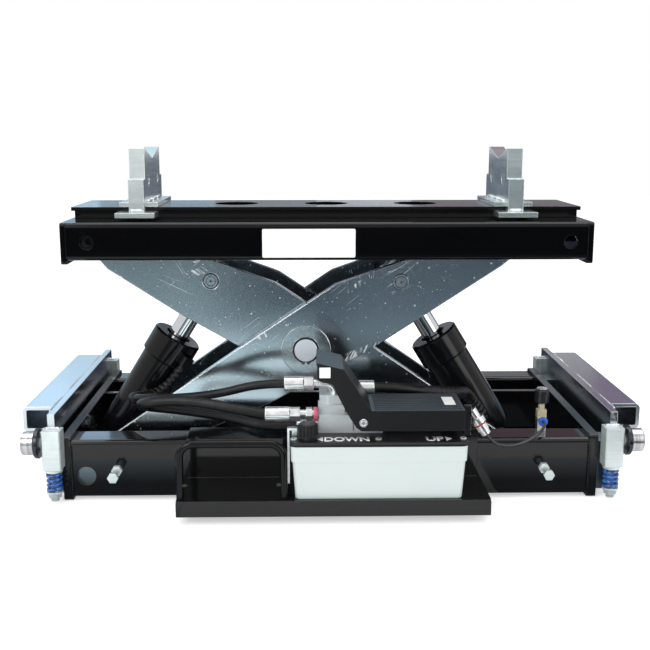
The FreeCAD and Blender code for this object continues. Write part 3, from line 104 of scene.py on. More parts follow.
# coloured cards round the set, seen only in the jack's reflections: x, y and z ranges, colour,
# and for a few the colour of the end near the camera
cards = {
    "frontLow": ((-2.4, 2.4), (-2.6, -2.6), (0.0, 0.19), (0.006, 0.007, 0.009)),
    "floorFarLeft": ((-2.4, -0.3), (-2.6, -1.25), (0.004, 0.004), (0.33, 0.43, 0.46)),
    "floorFarMiddle": ((-0.3, 0.06), (-2.6, -1.25), (0.004, 0.004), (0.05, 0.09, 0.12)),
    "floorFarRight": ((0.06, 2.4), (-2.6, -1.25), (0.004, 0.004), (0.15, 0.2, 0.24)),
    "floorNear": ((-2.4, 2.4), (-1.25, -0.95), (0.004, 0.004), (0.42, 0.5, 0.54)),
    "shadeLeft": ((-0.405, -0.2), (-0.33, 0.3), (0.003, 0.003), (0.12, 0.14, 0.16), (0.95, 1.15, 1.2)),
    "shadeRight": ((0.23, 0.41), (-0.33, 0.3), (0.003, 0.003), (0.12, 0.14, 0.16), (0.85, 0.95, 1.0)),
    "floorGlow": ((-1.3, 0.0), (-0.95, -0.55), (0.004, 0.004), (1.4, 1.65, 1.65)),
    "floorRight": ((0.0, 1.3), (-0.95, -0.425), (0.004, 0.004), (0.03, 0.055, 0.065)),
    "floorBehind": ((-0.4, 0.4), (0.36, 1.2), (0.004, 0.004), (0.035, 0.04, 0.055)),
    "padFront": ((0.5, 1.1), (-2.61, -2.61), (0.22, 0.5), (0.08, 0.14, 0.18)),
    "padShade": ((-0.25, 0.12), (1.5, 1.5), (0.0, 0.425), (0.07, 0.08, 0.12)),
    "rearBand": ((-0.76, 0.86), (1.5, 1.5), (0.515, 0.538), (0.012, 0.02, 0.045)),
    "beamGlow": ((-0.95, -0.64), (1.5, 1.5), (0.538, 0.62), (1.2, 1.7, 2.3)),
    "beamBand": ((-0.64, 0.3), (1.5, 1.5), (0.538, 0.62), (0.28, 0.38, 0.5)),
    "rearDeckMiddle": ((0.0, 0.28), (1.505, 1.505), (0.44, 0.515), (1.2, 1.25, 1.3)),
    "rearDeck": ((-0.3, 0.86), (1.51, 1.51), (0.0, 0.515), (0.46, 0.48, 0.5)),
    "rearLeft": ((-2.6, -0.3), (1.52, 1.52), (0.0, 1.4), (0.66, 0.86, 1.0)),
    "rearRight": ((0.3, 0.86), (1.52, 1.52), (0.538, 1.5), (0.24, 0.16, 0.2)),
    "rearFarRight": ((0.86, 2.6), (1.53, 1.53), (0.0, 1.5), (0.24, 0.2, 0.28)),
}


def makeCamera():
    data = bpy.data.cameras.new("camera")
    data.lens = view["lens"]
    data.sensor_width = view["sensor"]
    data.clip_start, data.clip_end = view["clip"]
    camera = bpy.data.objects.new("camera", data)
    bpy.context.collection.objects.link(camera)
    camera.location = at(*view["place"])
    camera.rotation_euler = (math.pi / 2 - view["pitchDown"], 0, -view["yaw"])
    bpy.context.scene.camera = camera


def areaLamp(name, place, size, power):
    lamp = bpy.data.lights.new(name, "AREA")
    lamp.shape = "RECTANGLE"
    lamp.size, lamp.size_y = size
    lamp.energy = power
    holder = bpy.data.objects.new(name, lamp)
    bpy.context.collection.objects.link(holder)
    holder.location = place
    aim = Vector(studio["aim"]) - Vector(place)
    holder.rotation_euler = aim.to_track_quat("-Z", "Y").to_euler()


def card(name, across, depth, rise, color, near=None):
    # a standing card has one depth, a lying one has one height
    (x0, x1), (y0, y1), (z0, z1) = across, depth, rise
    corners = [(x0, y0, z0), (x1, y0, z0), (x1, y1, z1), (x0, y1, z1)]
    mesh = bpy.data.meshes.new(name)
    mesh.from_pydata(corners, [], [(0, 1, 2, 3)])
    sheet = bpy.data.objects.new(name, mesh)
    bpy.context.collection.objects.link(sheet)
    sheet.visible_camera = False
    sheet.visible_shadow = False
    sheet.visible_diffuse = False
    tone = bpy.data.materials.new(name)
    tone.use_nodes = True
    body = tone.node_tree.nodes["Principled BSDF"]
    body.inputs["Base Color"].default_value = (0, 0, 0, 1)
    body.inputs["Specular IOR Level"].default_value = 0.0
    body.inputs["Emission Color"].default_value = (*color, 1)
    body.inputs["Emission Strength"].default_value = 1.0
    if near:
        shadeCard(tone.node_tree, body, y0, near, color)
    mesh.materials.append(tone)


def shadeCard(tree, body, edge, near, color):
    # the near colour at the card's edge turns into its own colour further back
    place = tree.nodes.new("ShaderNodeTexCoord")
    parts = tree.nodes.new("ShaderNodeSeparateXYZ")
    tree.links.new(place.outputs["Object"], parts.inputs[0])
    share = tree.nodes.new("ShaderNodeMapRange")
    share.inputs["From Min"].default_value = edge
    share.inputs["From Max"].default_value = edge + studio["shadeFade"]
    tree.links.new(parts.outputs["Y"], share.inputs["Value"])
    mix = colorMix(tree, near, color, share.outputs["Result"])
    tree.links.new(mix, body.inputs["Emission Color"])


def colorMix(tree, first, second, share):
    mix = tree.nodes.new("ShaderNodeMix")
    mix.data_type = "RGBA"
    mix.inputs[6].default_value = (*first, 1)
    mix.inputs[7].default_value = (*second, 1)
    tree.links.new(share, mix.inputs[0])
    return mix.outputs[2]


def makeWorld():
    # white to the camera and in reflections, dimmer as light on the jack
    world = bpy.data.worlds.new("studio")
    bpy.context.scene.world = world
    world.use_nodes = True
    tree = world.node_tree
    tree.nodes.clear()
    path = tree.nodes.new("ShaderNodeLightPath")
    seen = path.outputs["Is Camera Ray"]
    for ray in ("Is Glossy Ray", "Is Transmission Ray"):
        either = tree.nodes.new("ShaderNodeMath")
        either.operation = "MAXIMUM"
        tree.links.new(seen, either.inputs[0])
        tree.links.new(path.outputs[ray], either.inputs[1])
        seen = either.outputs[0]
    dim = studio["worldDim"]
    tone = colorMix(tree, (dim, dim, dim * studio["worldCool"]), (1, 1, 1), seen)
    glow = tree.nodes.new("ShaderNodeBackground")
    tree.links.new(tone, glow.inputs["Color"])
    out = tree.nodes.new("ShaderNodeOutputWorld")
    tree.links.new(glow.outputs[0], out.inputs["Surface"])


def makeFloor():
    mesh = bpy.data.meshes.new("floor")
    s = studio["floorHalf"]
    mesh.from_pydata([(-s, -s, 0), (s, -s, 0), (s, s, 0), (-s, s, 0)], [], [(0, 1, 2, 3)])
    floor = bpy.data.objects.new("floor", mesh)
    bpy.context.collection.objects.link(floor)
    paint = bpy.data.materials.new("floor")
    paint.use_nodes = True
    tree = paint.node_tree
    body = tree.nodes["Principled BSDF"]
    body.inputs["Base Color"].default_value = (*[studio["floorTone"]] * 3, 1)
    body.inputs["Roughness"].default_value = 0.9
    body.inputs["Specular IOR Level"].default_value = 0.1
    path = tree.nodes.new("ShaderNodeLightPath")      # the camera sees the floor a little lighter
    lift = colorMix(tree, (0, 0, 0), (1, 1, 1), path.outputs["Is Camera Ray"])
    tree.links.new(lift, body.inputs["Emission Color"])
    body.inputs["Emission Strength"].default_value = studio["floorLift"]
    mesh.materials.append(paint)


def makeStudio():
    makeWorld()
    for name in ("top", "key", "fill"):
        areaLamp(name, **studio[name])
    for name, place in cards.items():
        card(name, *place)
    makeFloor()
    bpy.context.scene.view_settings.view_transform = "Standard"


# Shader arithmetic

class Wire:
    # one shader value that takes plain arithmetic
    def __init__(self, tree, socket):
        self.tree = tree
        self.socket = socket

    def calc(self, operation, *values):
        node = self.tree.nodes.new("ShaderNodeMath")
        node.operation = operation
        for slot, value in zip(node.inputs, values):
            plug(self.tree, slot, value)
        return Wire(self.tree, node.outputs[0])

    def __add__(self, other):
        return self.calc("ADD", self, other)

    def __radd__(self, other):
        return self.calc("ADD", other, self)

    def __sub__(self, other):
        return self.calc("SUBTRACT", self, other)

    def __rsub__(self, other):
        return self.calc("SUBTRACT", other, self)

    def __mul__(self, other):
        return self.calc("MULTIPLY", self, other)

    def __rmul__(self, other):
        return self.calc("MULTIPLY", other, self)

    def __abs__(self):
        return self.calc("ABSOLUTE", self)

    def atMost(self, limit):
        return self.calc("MINIMUM", self, limit)

    def over(self, low, high):
        # 0 below low, 1 above high
        node = self.tree.nodes.new("ShaderNodeMapRange")
        node.interpolation_type = "SMOOTHSTEP"
        plug(self.tree, node.inputs["Value"], self)
        node.inputs["From Min"].default_value = low
        node.inputs["From Max"].default_value = high
        return Wire(self.tree, node.outputs["Result"])


def plug(tree, slot, value):
    if isinstance(value, Wire):
        tree.links.new(value.socket, slot)
    elif hasattr(value, "__len__") and len(value) == 3 and len(slot.default_value) == 4:
        slot.default_value = (*value, 1)
    else:
        slot.default_value = value


class Finish:
    # one material: fixed values go on the shader's own sockets, the rest is wired
    def __init__(self, name, color, roughness, metallic=0.0, **fixed):
        self.material = bpy.data.materials.new(name)
        self.material.use_nodes = True
        self.tree = self.material.node_tree
        self.body = self.tree.nodes["Principled BSDF"]
        self.coords = self.make("ShaderNodeTexCoord").part("Object")
        self.set("Base Color", color)
        self.set("Roughness", roughness)
        self.set("Metallic", metallic)
        for socket, value in fixed.items():
            self.set(socket.replace("_", " "), value)

    def set(self, socket, value):
        plug(self.tree, self.body.inputs[socket], value)

    def make(self, kind, settings=None, **values):
        # settings first, then the sockets, by name or as i0, i1 and so on
        node = self.tree.nodes.new(kind)
        for key, value in (settings or {}).items():
            setattr(node, key, value)
        for key, value in values.items():
            numbered = key[0] == "i" and key[1:].isdigit()
            plug(self.tree, node.inputs[int(key[1:]) if numbered else key], value)
        return Maker(self.tree, node)

    def placed(self, stretch=(1, 1, 1), turn=(0, 0, 0)):
        # turned first, so that a stretch runs along the turned axes
        where = self.coords
        if any(turn):
            where = self.make("ShaderNodeMapping", Vector=where, Rotation=turn).part(0)
        return self.make("ShaderNodeMapping", Vector=where, Scale=stretch).part(0)

    def noise(self, scale, detail=3, rough=0.5, stretch=(1, 1, 1), turn=(0, 0, 0)):
        return self.make("ShaderNodeTexNoise", Vector=self.placed(stretch, turn), Scale=scale,
                         Detail=detail, Roughness=rough).part(0)

    def blend(self, share, first, second):
        return self.make("ShaderNodeMix", {"data_type": "RGBA"}, i0=share, i6=first, i7=second).part(2)

    def edge(self, radius):
        # soft rounded normal near sharp edges, and how far it leans
        soft = self.make("ShaderNodeBevel", {"samples": 4}, Radius=radius).part(0)
        flat = self.make("ShaderNodeNewGeometry").part("Normal")
        dot = self.make("ShaderNodeVectorMath", {"operation": "DOT_PRODUCT"}, i0=soft, i1=flat)
        return soft, ((1.0 - dot.part("Value")) * 6.0).over(0.05, 1.0)

    def axisValue(self, axis):
        return self.make("ShaderNodeSeparateXYZ", Vector=self.coords).part(axis)

    def facing(self, axis):
        # how far the surface faces along one axis
        normal = self.make("ShaderNodeNewGeometry").part("Normal")
        return self.make("ShaderNodeSeparateXYZ", Vector=normal).part(axis)

    def bump(self, height, strength, distance=0.001, normal=None):
        extra = {} if normal is None else {"Normal": normal}
        made = self.make("ShaderNodeBump", Height=height, Strength=strength, Distance=distance, **extra)
        self.set("Normal", made.part(0))


class Maker:
    def __init__(self, tree, node):
        self.tree = tree
        self.node = node

    def part(self, name):
        return Wire(self.tree, self.node.outputs[name])


# Finishes

# painted shade: the darker tint of the darker, less shiny copies of the frame's gloss black
shadedTint = (0.002, 0.0021, 0.0026)
cylinderTint = (0.004, 0.0042, 0.005)


def glossBlack(name="glossBlack", tint=(0.005, 0.0052, 0.0058), deck=0.0, shine=0.42):
    # sprayed gloss enamel: near-mirror, orange peel, chipped and rubbed edges
    f = Finish(name, tint, 0.1, Specular_IOR_Level=shine)
    soft, lean = f.edge(0.0014)
    haze = f.noise(9, 4, 0.6)
    dust = f.noise(240, 2).over(0.62, 0.9)
    rub = lean * f.noise(70).over(0.48, 0.8) * 0.3
    f.set("Base Color", f.blend(rub + dust * 0.015, tint, (0.16, 0.16, 0.17)))
    up = f.facing("Z").over(0.7, 0.95)
    f.set("Roughness", 0.05 + haze * 0.06 + dust * 0.08 + up * deck)
    f.bump(f.noise(90, 2) * 0.6 + f.noise(520, 2) * 0.4, 0.03, 0.0004, soft)
    return f.material


def satinBlack():
    # thicker enamel on the cylinders, with a sag here and there
    f = Finish("satinBlack", cylinderTint, 0.2, Specular_IOR_Level=0.22)
    soft, lean = f.edge(0.0012)
    rub = lean * 0.3 * f.noise(60).over(0.45, 0.8)
    f.set("Base Color", f.blend(rub, cylinderTint, (0.14, 0.14, 0.14)))
    f.set("Roughness", 0.09 + f.noise(26, 4) * 0.12)
    f.bump(f.noise(38, 3) * 0.7 + f.noise(700, 2) * 0.3, 0.06, 0.0008, soft)
    return f.material


def scratches(f, angle, spread, amount):
    # long thin marks: stretched noise cut near its middle, kept only in patches
    line = f.noise(34, 2, 0.5, (1, 1, spread), (0, angle, 0))
    thin = 1.0 - abs(line - 0.5).over(0.0, 0.005)
    patch = f.noise(13, 2, 0.5, turn=(0, angle * 2, 0)).over(0.57, 0.66)
    return thin * patch * amount


# clusters of handling marks on the arms: middle x, z, half length, half height in millimetres,
# then the tilt of the cluster and the angle of its strokes
scuffs = (
    (44.0, 191.0, 46.0, 8.0, 0.37, -0.45),
    (43.0, 289.0, 26.0, 5.0, 0.62, 0.15),
    (-182.0, 304.0, 30.0, 6.0, 0.3, 0.9),
    (-96.0, 215.0, 9.0, 7.0, 0.0, 0.4),
)


def scuffed(f):
    # an ellipse round each middle, filled with short strokes from stretched noise
    x, z = f.axisValue("X"), f.axisValue("Z")
    marks = []
    for cx, cz, halfLength, halfHeight, tilt, hatch in scuffs:
        dx, dz = x - cx * mm, z - cz * mm
        along = (dx * math.cos(tilt) + dz * math.sin(tilt)) * (1 / (halfLength * mm))
        across = (dz * math.cos(tilt) - dx * math.sin(tilt)) * (1 / (halfHeight * mm))
        inside = 1.0 - (along * along + across * across).over(0.35, 1.0)
        strokes = f.noise(300, 2, 0.5, (1, 1, 0.09), (0, hatch, 0)).over(0.52, 0.6)
        marks.append(inside * strokes * f.noise(60, 2).over(0.3, 0.55))
    return sum(marks)


scratchRuns = ((0.5, 0.08, 0.8), (-0.9, 0.06, 0.7), (1.2, 0.05, 0.5))      # angle, thinness, strength


def zincPlate(name="zincPlate", stretch=(1, 1, 1), rough=0.11,
              ground=((0.36, 0.42, 0.46), (0.5, 0.56, 0.6)), sparkle=1.0):
    # bright zinc over rolled plate: fine mottle, stray bright nicks, long handling scratches
    f = Finish(name, (0.6, 0.61, 0.62), 0.3, 1.0)
    soft, lean = f.edge(0.0016)
    cloud = f.noise(5, 3, 0.55, stretch)
    mottle = f.noise(420, 3, 0.6, stretch)
    nick = f.noise(330, 2, 0.5, stretch).over(0.71, 0.76)
    nick = nick + f.noise(150, 1, 0.4, stretch).over(0.75, 0.79)
    marks = sum(scratches(f, *run) for run in scratchRuns)
    if name == "zincPlate":
        marks = marks + scuffed(f)
    shade = cloud * 0.45 + mottle * 0.55
    low, high = ground
    base = f.blend(shade.over(0.25, 0.75), low, high)
    bright = (marks + nick * 0.8).atMost(1.0) * sparkle
    base = f.blend(bright * 0.9, base, (0.92, 0.94, 0.95))
    # painted highlight: near every edge the colour turns almost white and less metallic
    base = f.blend(lean * 0.8, base, (0.9, 0.93, 0.95))
    f.set("Base Color", base)
    f.set("Metallic", 1.0 - bright * 0.55 - lean * 0.3)
    f.set("Roughness", rough + mottle * 0.08 + cloud * 0.06 + bright * 0.2)
    f.bump(mottle * 0.5 + f.noise(900, 2) * 0.5, 0.03, 0.0003, soft)
    return f.material


def paleZinc(name, metal, rough):
    # thick, pale plating on flame-cut blocks: cutting lines run level round the edges
    f = Finish(name, (0.8, 0.84, 0.84), 0.35, metal)
    soft, lean = f.edge(0.001)
    lines = f.noise(260, 3, 0.6, (0.06, 0.06, 1))
    cloud = f.noise(60, 3)
    base = f.blend((lines * 0.6 + cloud * 0.4).over(0.3, 0.7), (0.62, 0.69, 0.69), (0.74, 0.8, 0.79))
    # painted highlight: near every edge the colour turns almost white
    f.set("Base Color", f.blend(lean * 0.7, base, (0.95, 0.96, 0.96)))
    f.set("Roughness", rough + lines * 0.1)
    f.bump(lines * 0.8 + f.noise(800, 2) * 0.2, 0.05, 0.0004, soft)
    return f.material


def brightZinc():
    # small turned parts: bright, with a faint turning grain
    f = Finish("brightZinc", (0.72, 0.73, 0.74), 0.25, 1.0)
    soft, lean = f.edge(0.0008)
    grain = f.noise(60, 4, 0.6)
    base = f.blend(grain.over(0.3, 0.7), (0.6, 0.62, 0.63), (0.86, 0.88, 0.88))
    # painted highlight: near every edge the colour turns almost white
    f.set("Base Color", f.blend(lean * 0.7, base, (0.95, 0.95, 0.95)))
    f.set("Metallic", 0.95 - grain * 0.2)
    f.set("Roughness", 0.16 + grain * 0.18)
    f.bump(f.noise(900, 2), 0.06, 0.0003, soft)
    return f.material


def pinFace():
    # ground ends of the pins: the big one at the hub is the palest
    f = Finish("pinFace", (0.7, 0.76, 0.8), 0.24, 0.6)
    soft, lean = f.edge(0.0008)
    grain = f.noise(260, 3, 0.6)
    hub = sum(c.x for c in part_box("hub_washers")) / 2
    reach = 30.0 * mm                              # the shaft's ends lie nearer to the hub than this
    centre = 1.0 - abs(f.axisValue("X") - hub).over(reach, reach + 10 * hair)
    base = f.blend(grain.over(0.3, 0.7), (0.4, 0.46, 0.5), (0.52, 0.58, 0.62))
    base = f.blend(centre, base, (0.72, 0.78, 0.82))
    # painted highlight: near every edge the colour turns almost white
    f.set("Base Color", f.blend(lean * 0.6, base, (0.9, 0.93, 0.95)))
    f.set("Metallic", 1.0 - centre * 0.6)
    f.set("Roughness", 0.16 + grain * 0.14)
    f.bump(f.noise(900, 2), 0.05, 0.0003, soft)
    return f.material


def hubSteel():
    # zinc washers under black oxide circlips, told apart by their depth
    f = Finish("hubSteel", (0.6, 0.62, 0.63), 0.22, 1.0)
    soft, lean = f.edge(0.0008)
    y = f.axisValue("Y")
    face = beamFace + 66.0 * mm                    # outer face of the front washer
    rear = 2 * scissorMiddle - face
    clip = 1.0 - y.over(face - hair, face) + y.over(rear, rear + hair)
    mottle = f.noise(420, 3, 0.6)
    zinc = f.blend(mottle.over(0.3, 0.7), (0.38, 0.44, 0.47), (0.52, 0.58, 0.61))
    # painted highlight: near every edge the colour turns almost white
    zinc = f.blend(lean * 0.9, zinc, (0.92, 0.94, 0.95))
    f.set("Base Color", f.blend(clip, zinc, (0.012, 0.012, 0.014)))
    f.set("Metallic", 1.0 - clip)
    f.set("Roughness", 0.18 + mottle * 0.12)
    f.bump(f.noise(900, 2), 0.05, 0.0003, soft)
    return f.material


treadWidth = 17.0


def rollerSteel():
    # polished tread, dark oiled flange
    f = Finish("rollerSteel", (0.7, 0.7, 0.71), 0.2, 1.0)
    soft = f.edge(0.0008)[0]
    x = f.axisValue("X")
    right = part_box("front_right_roller")[1].x - treadWidth * mm
    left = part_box("front_left_roller")[0].x + treadWidth * mm
    tread = x.over(right - 2 * hair, right) + 1.0 - x.over(left, left + 2 * hair)
    turned = f.noise(420, 2, 0.5, (1, 0.03, 0.03))
    steel = f.blend(turned.over(0.3, 0.7), (0.36, 0.36, 0.37), (0.6, 0.6, 0.61))
    f.set("Base Color", f.blend(tread, (0.05, 0.055, 0.065), steel))
    f.set("Roughness", 0.14 + turned * 0.14)
    f.bump(turned, 0.05, 0.0003, soft)
    return f.material


# where one finish ends on the air fittings, in millimetres: x of the post's end and of the valve's near
# side, z of the amber bowl and of the knob
airParts = {"post": 182.4, "valve": 250.0, "amber": 108.0, "knob": 129.0}


def airMetal():
    # one node holds the inlet post, the coupling and the valve, told apart by place
    f = Finish("airMetal", (0.7, 0.71, 0.71), 0.22, 1.0)
    soft = f.edge(0.0006)[0]
    x, z = f.axisValue("X"), f.axisValue("Z")
    postEnd, valveSide, amberFoot, knobFoot = (edge * mm for edge in airParts.values())
    post = 1.0 - x.over(postEnd - hair, postEnd)
    valve = x.over(valveSide, valveSide + 100 * hair)
    knob = valve * z.over(knobFoot - 2 * hair, knobFoot)
    amber = valve * z.over(amberFoot, amberFoot + 6 * hair) - knob
    grain = f.noise(200, 3)
    steel = f.blend(grain, (0.62, 0.63, 0.63), (0.84, 0.85, 0.85))
    base = f.blend(amber, steel, (0.6, 0.54, 0.36))
    f.set("Base Color", f.blend(post + knob, base, (0.01, 0.01, 0.011)))
    f.set("Metallic", 1.0 - post - knob - amber * 0.6)
    f.set("Roughness", 0.18 + grain * 0.14)
    f.bump(f.noise(700, 2), 0.05, 0.0003, soft)
    return f.material


def hardChrome():
    f = Finish("hardChrome", (0.85, 0.86, 0.87), 0.06, 1.0)
    f.set("Roughness", 0.04 + f.noise(40, 3) * 0.06)
    f.set("Base Color", f.blend(f.noise(25, 3), (0.5, 0.52, 0.54), (0.66, 0.67, 0.69)))
    f.bump(f.noise(120, 2, 0.5, (1, 1, 12)), 0.02, 0.0003)
    return f.material


def castAlloy():
    f = Finish("castAlloy", (0.7, 0.72, 0.73), 0.42, 0.5)
    soft, lean = f.edge(0.0012)
    grit = f.noise(420, 3)
    base = f.blend(f.noise(40, 4), (0.68, 0.72, 0.74), (0.82, 0.86, 0.87))
    # painted highlight: near every edge the colour turns almost white
    f.set("Base Color", f.blend(lean * 0.6, base, (0.92, 0.94, 0.94)))
    f.set("Roughness", 0.34 + grit * 0.16)
    f.bump(grit, 0.14, 0.0005, soft)
    return f.material


def milkPlastic():
    # thick moulded polythene, cool white, with faint flow lines
    f = Finish("milkPlastic", (0.62, 0.7, 0.68), 0.38, Subsurface_Weight=0.1, Subsurface_Scale=0.01)
    soft = f.edge(0.002)[0]
    cloud = f.noise(14, 3)
    f.set("Base Color", f.blend(cloud, (0.58, 0.66, 0.64), (0.66, 0.73, 0.71)))
    f.set("Roughness", 0.3 + f.noise(90, 3) * 0.2)
    f.bump(f.noise(260, 3), 0.06, 0.0006, soft)
    return f.material


def blackPlastic(name="blackPlastic", dustAndSheenAmount=0.0):
    # grained moulding; upward faces of the treadle's deck are painted lighter and bluish, part dust film,
    # part painted reflection
    f = Finish(name, (0.008, 0.0085, 0.009), 0.42, Specular_IOR_Level=0.3)
    soft, lean = f.edge(0.0015)
    grain = f.noise(900, 2)
    # painted highlight: every edge lightened towards dark grey, with random lighter patches besides
    base = f.blend(lean * 0.3 + f.noise(50, 3).over(0.55, 0.9) * 0.1,
                   (0.007, 0.0075, 0.008), (0.07, 0.07, 0.07))
    # dust and painted reflection: upward faces turned bluish grey in noisy patches
    dustAndSheen = f.facing("Z").over(0.6, 0.95) * (f.noise(70, 3) * 0.4 + 0.8) * dustAndSheenAmount
    f.set("Base Color", f.blend(dustAndSheen, base, (0.06, 0.09, 0.12)))
    f.set("Roughness", 0.3 + grain * 0.16)
    f.bump(grain, 0.16, 0.0004, soft)
    return f.material


def hoseRubber():
    f = Finish("hoseRubber", (0.008, 0.0085, 0.01), 0.4, Specular_IOR_Level=0.3)
    cloud = f.noise(45, 4).over(0.45, 0.8)
    f.set("Roughness", 0.32 + f.noise(120, 3) * 0.2)
    f.set("Base Color", f.blend(cloud, (0.004, 0.0043, 0.005), (0.015, 0.016, 0.019)))
    f.bump(f.noise(600, 3), 0.12, 0.0005)
    return f.material


def springBlue():
    # dark blue dip with random patches painted pale blue as highlights
    f = Finish("springBlue", (0.015, 0.06, 0.35), 0.2, Coat_Weight=0.4)
    # painted highlight: random patches lightened towards pale blue
    paintedGlints = f.noise(220, 3).over(0.6, 0.8)
    base = f.blend(f.noise(160, 3).over(0.4, 0.75), (0.01, 0.05, 0.24), (0.04, 0.22, 0.62))
    f.set("Base Color", f.blend(paintedGlints * 0.25, base, (0.45, 0.6, 0.9)))
    f.set("Roughness", 0.14 + f.noise(300, 2) * 0.12)
    f.bump(f.noise(500, 2), 0.08, 0.0004)
    return f.material


def gloss(name, low, high, roughness=0.3):
    f = Finish(name, high, roughness)
    f.set("Base Color", f.blend(f.noise(150, 3), low, high))
    f.set("Roughness", roughness + f.noise(400, 2) * 0.12)
    f.bump(f.noise(700, 2), 0.05, 0.0003)
    return f.material


def plateWhite():
    f = Finish("plateWhite", (0.86, 0.86, 0.86), 0.32)
    f.set("Base Color", f.blend(f.noise(30, 3), (0.8, 0.8, 0.8), (0.9, 0.9, 0.9)))
    f.set("Roughness", 0.26 + f.noise(200, 2) * 0.15)
    f.bump(f.noise(300, 2), 0.04, 0.0003)
    return f.material


# nodes whose finish differs from the rest of their slot
special = {
    "outer_arm_pins": "pinFace", "inner_arm_pins": "pinFace",
    "lid_screws": "paleZinc", "clamp_screws": "paleZinc",
    "left_slide_bars": "shadedSlideZinc", "right_slide_bars": "shadedSlideZinc", "treadle": "treadlePlastic",
    "hub_washers": "hubSteel", "top_rail": "shadedRailPaint", "air_fittings": "airMetal",
    "guard_bar": "shadedBlack", "upper_beams": "shadedBlack", "upper_end_plates": "shadedBlack",
    "left_channel": "zincSheet", "right_channel": "zincSheet",
    "left_carriage_plate": "zincSheet", "right_carriage_plate": "zincSheet",
    "left_pad": "padZinc", "right_pad": "padZinc",
    "left_roller_blocks": "paleZinc", "right_roller_blocks": "paleZinc",
}

# the darker and the lighter colour of the mottle on the carriages and on their slide bars; the slide
# bars' pair is a much darker copy, painted shade
sheetGround = ((0.5, 0.54, 0.57), (0.66, 0.69, 0.72))
slideShadeGround = ((0.19, 0.22, 0.25), (0.26, 0.3, 0.33))


def makeFinishes():
    return {
        "frame_paint": glossBlack(), "cylinder_paint": satinBlack(), "zinc_plate": zincPlate(),
        # painted shade: darker, less shiny copies of the frame's gloss black for the top rail, the upper
        # frame and the guard bar
        "shadedRailPaint": glossBlack("shadedRailPaint", shadedTint, 0.07, 0.24),
        "shadedBlack": glossBlack("shadedBlack", shadedTint, shine=0.22),
        "zinc": brightZinc(), "rod_chrome": hardChrome(), "cast_metal": castAlloy(),
        "zincSheet": zincPlate("zincSheet", (1, 0.25, 1), 0.12, sheetGround, 0.35),
        # painted shade: a darker copy of the zinc for the slide bars
        "shadedSlideZinc": zincPlate("shadedSlideZinc", (0.5, 1, 1), 0.22, slideShadeGround, 0.15),
        "padZinc": paleZinc("padZinc", 0.9, 0.14), "paleZinc": paleZinc("paleZinc", 0.5, 0.26),
        "pinFace": pinFace(), "hubSteel": hubSteel(), "rollerSteel": rollerSteel(),
        "airMetal": airMetal(), "hose_rubber": hoseRubber(), "tank_plastic": milkPlastic(),
        "lid_plastic": blackPlastic(), "treadlePlastic": blackPlastic("treadlePlastic", 0.55),
        "air_tube": gloss("airTube", (0.01, 0.01, 0.012), (0.03, 0.03, 0.035), 0.2),
        "spring_paint": springBlue(), "white": plateWhite(),
        "red": gloss("ringRed", (0.4, 0.01, 0.01), (0.62, 0.03, 0.02)),
        "pink": gloss("capPink", (0.62, 0.09, 0.16), (0.8, 0.2, 0.28)),
        "blue": gloss("ringBlue", (0.01, 0.06, 0.4), (0.02, 0.14, 0.66)),
        "ink": gloss("letterWhite", (0.93, 0.93, 0.93), (0.97, 0.97, 0.97), 0.4),
        # painted shade for the grooves and recesses on the pins and screws
        "dark": gloss("paintedRecessShade", (0.004, 0.004, 0.004), (0.012, 0.012, 0.012), 0.5),
    }


def dressNodes(finishes):
    for row in frame["record"]["subparts"]:
        name = row["node"]
        finish = special.get(name, row["material_slot"])
        if name.endswith("_roller"):
            finish = "rollerSteel"
        elif name.endswith("_stud"):
            finish = "paleZinc"
        node = bpy.data.objects.get(name)
        node.data.materials.clear()
        node.data.materials.append(finishes[finish])


# Surfaces

def surface(name, grid):
    # grid of points [u, v, xyz] joined by quads: closed rings of v, one after another along u,
    # and one face over each end
    nu, nv = grid.shape[:2]
    a, b = np.meshgrid(np.arange(nu - 1), np.arange(nv), indexing="ij")
    c, d = a + 1, (b + 1) % nv
    faces = np.stack([a * nv + b, c * nv + b, c * nv + d, a * nv + d], -1).reshape(-1, 4).tolist()
    faces.append(list(range(nv)))
    faces.append([(nu - 1) * nv + i for i in range(nv)][::-1])
    mesh = bpy.data.meshes.new(name)
    mesh.from_pydata(grid.reshape(-1, 3).tolist(), [], faces)
    outward(mesh)
    mesh.polygons.foreach_set("use_smooth", [len(p.vertices) == 4 for p in mesh.polygons])
    piece = bpy.data.objects.new(name, mesh)
    bpy.context.collection.objects.link(piece)
    return piece


def outward(mesh):
    # every face of a closed mesh turned to point out
    solid = bmesh.new()
    solid.from_mesh(mesh)
    bmesh.ops.recalc_face_normals(solid, faces=solid.faces)
    solid.to_mesh(mesh)
    solid.free()
    mesh.update()


def finished(piece, finish, body, finishes):
    piece.data.materials.append(finishes[finish])
    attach(piece, body)


def facets(mesh):
    # hard edges all over
    mesh.polygons.foreach_set("use_smooth", [False] * len(mesh.polygons))


def meshPoints(mesh):
    co = np.zeros(len(mesh.vertices) * 3)
    mesh.vertices.foreach_get("co", co)
    return co.reshape(-1, 3)


def pathFrames(path):
    # two directions across the path at each point, from a steady reference
    tangent = np.gradient(path, axis=0)
    tangent /= np.linalg.norm(tangent, axis=1, keepdims=True)
    spread = np.abs(tangent).max(0)
    reference = np.eye(3)[int(np.argmin(spread))]
    side = np.cross(tangent, reference)
    side /= np.linalg.norm(side, axis=1, keepdims=True)
    return side, np.cross(tangent, side)


